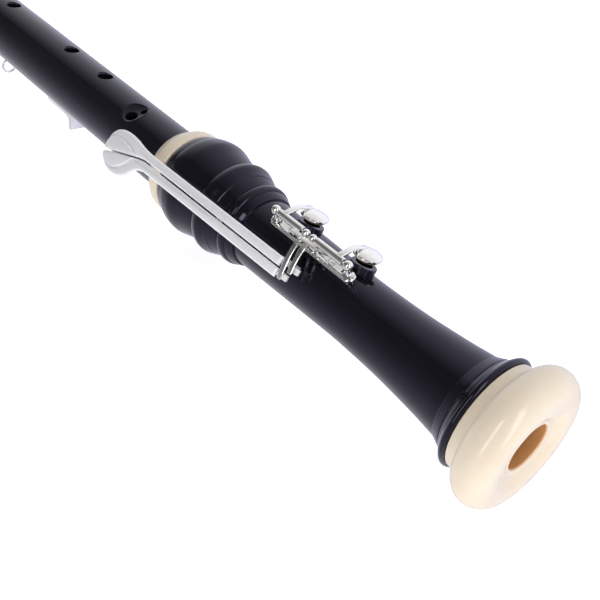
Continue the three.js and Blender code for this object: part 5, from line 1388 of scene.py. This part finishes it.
def crook():
    bend_end = radians(CROOK_TURN)

    def bend(turn):
        return CAP_END + CROOK_STRAIGHT + CROOK_BEND * sin(turn), CROOK_BEND * (1 - cos(turn))

    last = bend(bend_end)
    end = (last[0] + CROOK_REACH * cos(bend_end), last[1] + CROOK_REACH * sin(bend_end))
    tip_out = last[1] + (CROOK_REACH - MOUTH_SOCKET + MOUTH_LENGTH) * sin(bend_end)
    drop = asin((DONUT_RADIUS - MOUTH_TIP_RADIUS) / tip_out)

    def aside(place, out):
        return Vector((-place, -out * cos(drop), -out * sin(drop)))

    bends = [aside(*bend(bend_end * i / BEND_STEPS)) for i in range(BEND_STEPS + 1)]
    path = [aside(HEAD_END + CAP_CHAMBER_LENGTH + GAP, 0), *bends, aside(*end)]
    side = Vector((0, sin(drop), -cos(drop)))
    rings = []
    there = range(len(path))
    for radius, line in ((CROOK_RADIUS, there), (CROOK_BORE_RADIUS, reversed(there))):
        for i in line:
            along = (path[min(i + 1, len(path) - 1)] - path[max(i - 1, 0)]).normalized()
            across = along.cross(side).normalized()
            rings.append([
                path[i] + side * radius * cos(t) + across * radius * sin(t) for t in full_turn(SMALL_ROUND)
            ])
    piece("crook_pipe", woven(rings), "silver", "crook", "crook_tube")

    along = (path[-1] - path[-2]).normalized()
    axes = Matrix((side, along.cross(side), along)).transposed().to_4x4()
    tip, wide = MOUTH_LENGTH - MOUTH_SOCKET, CROOK_RADIUS + GAP
    outside = flow([
        *[(MOUTH_ROOT_RADIUS * out, MOUTH_SOCKET * up) for up, out in MOUTH_ROOT_SHARES],
        *[(MOUTH_TIP_RADIUS * out, tip * up) for up, out in MOUTH_TIP_SHARES],
    ])
    outline = [
        (wide, -MOUTH_SOCKET), *outside, (MOUTH_BORE_RADIUS, tip), (MOUTH_BORE_RADIUS, GAP), (wide, GAP),
    ]
    mesh = upright(eased(outline, ROUND_EDGE), Matrix.Translation(path[-1]) @ axes, WIDE_ROUND)
    piece("mouthpiece", mesh, "cream", "crook", "crook_mouthpiece")


head_joint()
socket_ring("head", HEAD_RING_SEAT, HEAD_START, HEAD_SEAT_RADIUS, MIDDLE_TOP_RADIUS)
windway_block()
cap()
crook()


# Floor, light and camera, in metres and degrees, with lens and sensor in millimetres
FLOOR_HALF = 30
CAMERA_FROM_MOUTH = Vector((100.90, -288.33, 251.86)) * MM
CAMERA_AZIMUTH = 40.085
CAMERA_ELEVATION = 35.777
CAMERA_ROLL = 13.92
CAMERA_CLIP = (0.01, 100)
LENS = 54
SENSOR = 36

# The tent's light by the angle about the bore, from straight up towards the far side, and how
# much bluer than grey it is there
TENT = [
    (-180, 0.90, 0.05), (-148, 0.72, 0.10), (-121, 0.56, 0.10), (-99, 0.34, 0.05), (-80, 0.22, 0),
    (-60, 0.14, 0), (-31, 0.12, 0), (-29, 0.01, 0), (-27, 0.13, 0), (-8, 0.36, 0), (13, 0.70, 0),
    (51, 0.98, 0.05), (75, 1, 0.12), (105, 0.72, 0.30), (133, 0.64, 0.30), (180, 0.90, 0.05),
]

# Panels: name, direction, height, distance, size, power, and whether gloss mirrors them
PANELS = [
    ("front_strip", -80, 0.45, 1.1, (0.28, 1.2), 4.2, True),
    ("foot_panel", -15, 0.62, 1.1, (0.40, 1.5), 7.0, True),
    ("overhead", 120, 1.5, 0.3, (1.3, 1.3), 5, False),
]


def floor():
    data = bpy.data.meshes.new("floor")
    half = FLOOR_HALF
    corners = [(-half, -half), (half, -half), (half, half), (-half, half)]
    data.from_pydata([(x, y, cad_box[0].z) for x, y in corners], [], [(0, 1, 2, 3)])
    made = placed("floor", data)
    data.materials.append(Paint(
        "floor_white", Base_Color=(0.9, 0.9, 0.9, 1), Roughness=0.9, Specular_IOR_Level=0.1,
        Emission_Color=(1, 1, 1, 1), Emission_Strength=0.74,
    ).material)
    made.visible_glossy = False


def panel(name, direction, height, distance, size, power, mirrored):
    """A panel that faces the foot's mouth, at a height above it."""
    turn = radians(direction)
    centre = MOUTH + Vector((distance * cos(turn), distance * sin(turn), height))
    data = bpy.data.lights.new(name, "AREA")
    data.shape = "RECTANGLE"
    data.size, data.size_y = size
    data.energy = power
    made = placed(name, data)
    made.location = centre
    made.rotation_mode = "QUATERNION"
    made.rotation_quaternion = (MOUTH - centre).to_track_quat("-Z", "Y")
    made.visible_glossy = mirrored


def studio():
    """A pale tent, seen as plain white behind the part."""
    world = bpy.data.worlds.new("studio")
    bpy.context.scene.world = world
    world.use_nodes = True
    tree = world.node_tree
    place = wired(tree, "TexCoord", {}, "Generated")
    axes = wired(tree, "SeparateXYZ", {"Vector": place}).node.outputs
    angle = wired(tree, "Math", {0: axes["Y"], 1: axes["Z"]}, operation="ARCTAN2")
    share = wired(tree, "MapRange", {"Value": angle, "From Min": -pi, "From Max": pi})
    stops = [
        ((degree + 180) / 360, (level, level, level * (1 + blue))) for degree, level, blue in TENT
    ]
    tent = tree.nodes["Background"]
    tree.links.new(shaded(tree, share, stops), tent.inputs["Color"])
    plain = wired(tree, "Background", {"Color": (1, 1, 1, 1)})
    seen = wired(tree, "LightPath", {}, "Is Camera Ray")
    blend = wired(tree, "MixShader", {0: seen, 1: tent.outputs["Background"], 2: plain})
    tree.links.new(blend, tree.nodes["World Output"].inputs["Surface"])


def camera():
    azimuth, elevation = radians(CAMERA_AZIMUTH), radians(CAMERA_ELEVATION)
    level = cos(elevation)
    back = Vector((sin(azimuth) * level, -cos(azimuth) * level, sin(elevation)))
    data = bpy.data.cameras.new("camera")
    data.lens, data.sensor_width = LENS, SENSOR
    data.clip_start, data.clip_end = CAMERA_CLIP
    made = placed("camera", data)
    made.rotation_mode = "QUATERNION"
    roll = Matrix.Rotation(radians(CAMERA_ROLL), 3, back)
    made.rotation_quaternion = (roll @ (-back).to_track_quat("-Z", "Y").to_matrix()).to_quaternion()
    made.location = MOUTH + CAMERA_FROM_MOUTH
    bpy.context.scene.camera = made


floor()
studio()
camera()
for settings in PANELS:
    panel(*settings)
bpy.context.scene.view_settings.view_transform = "Standard"
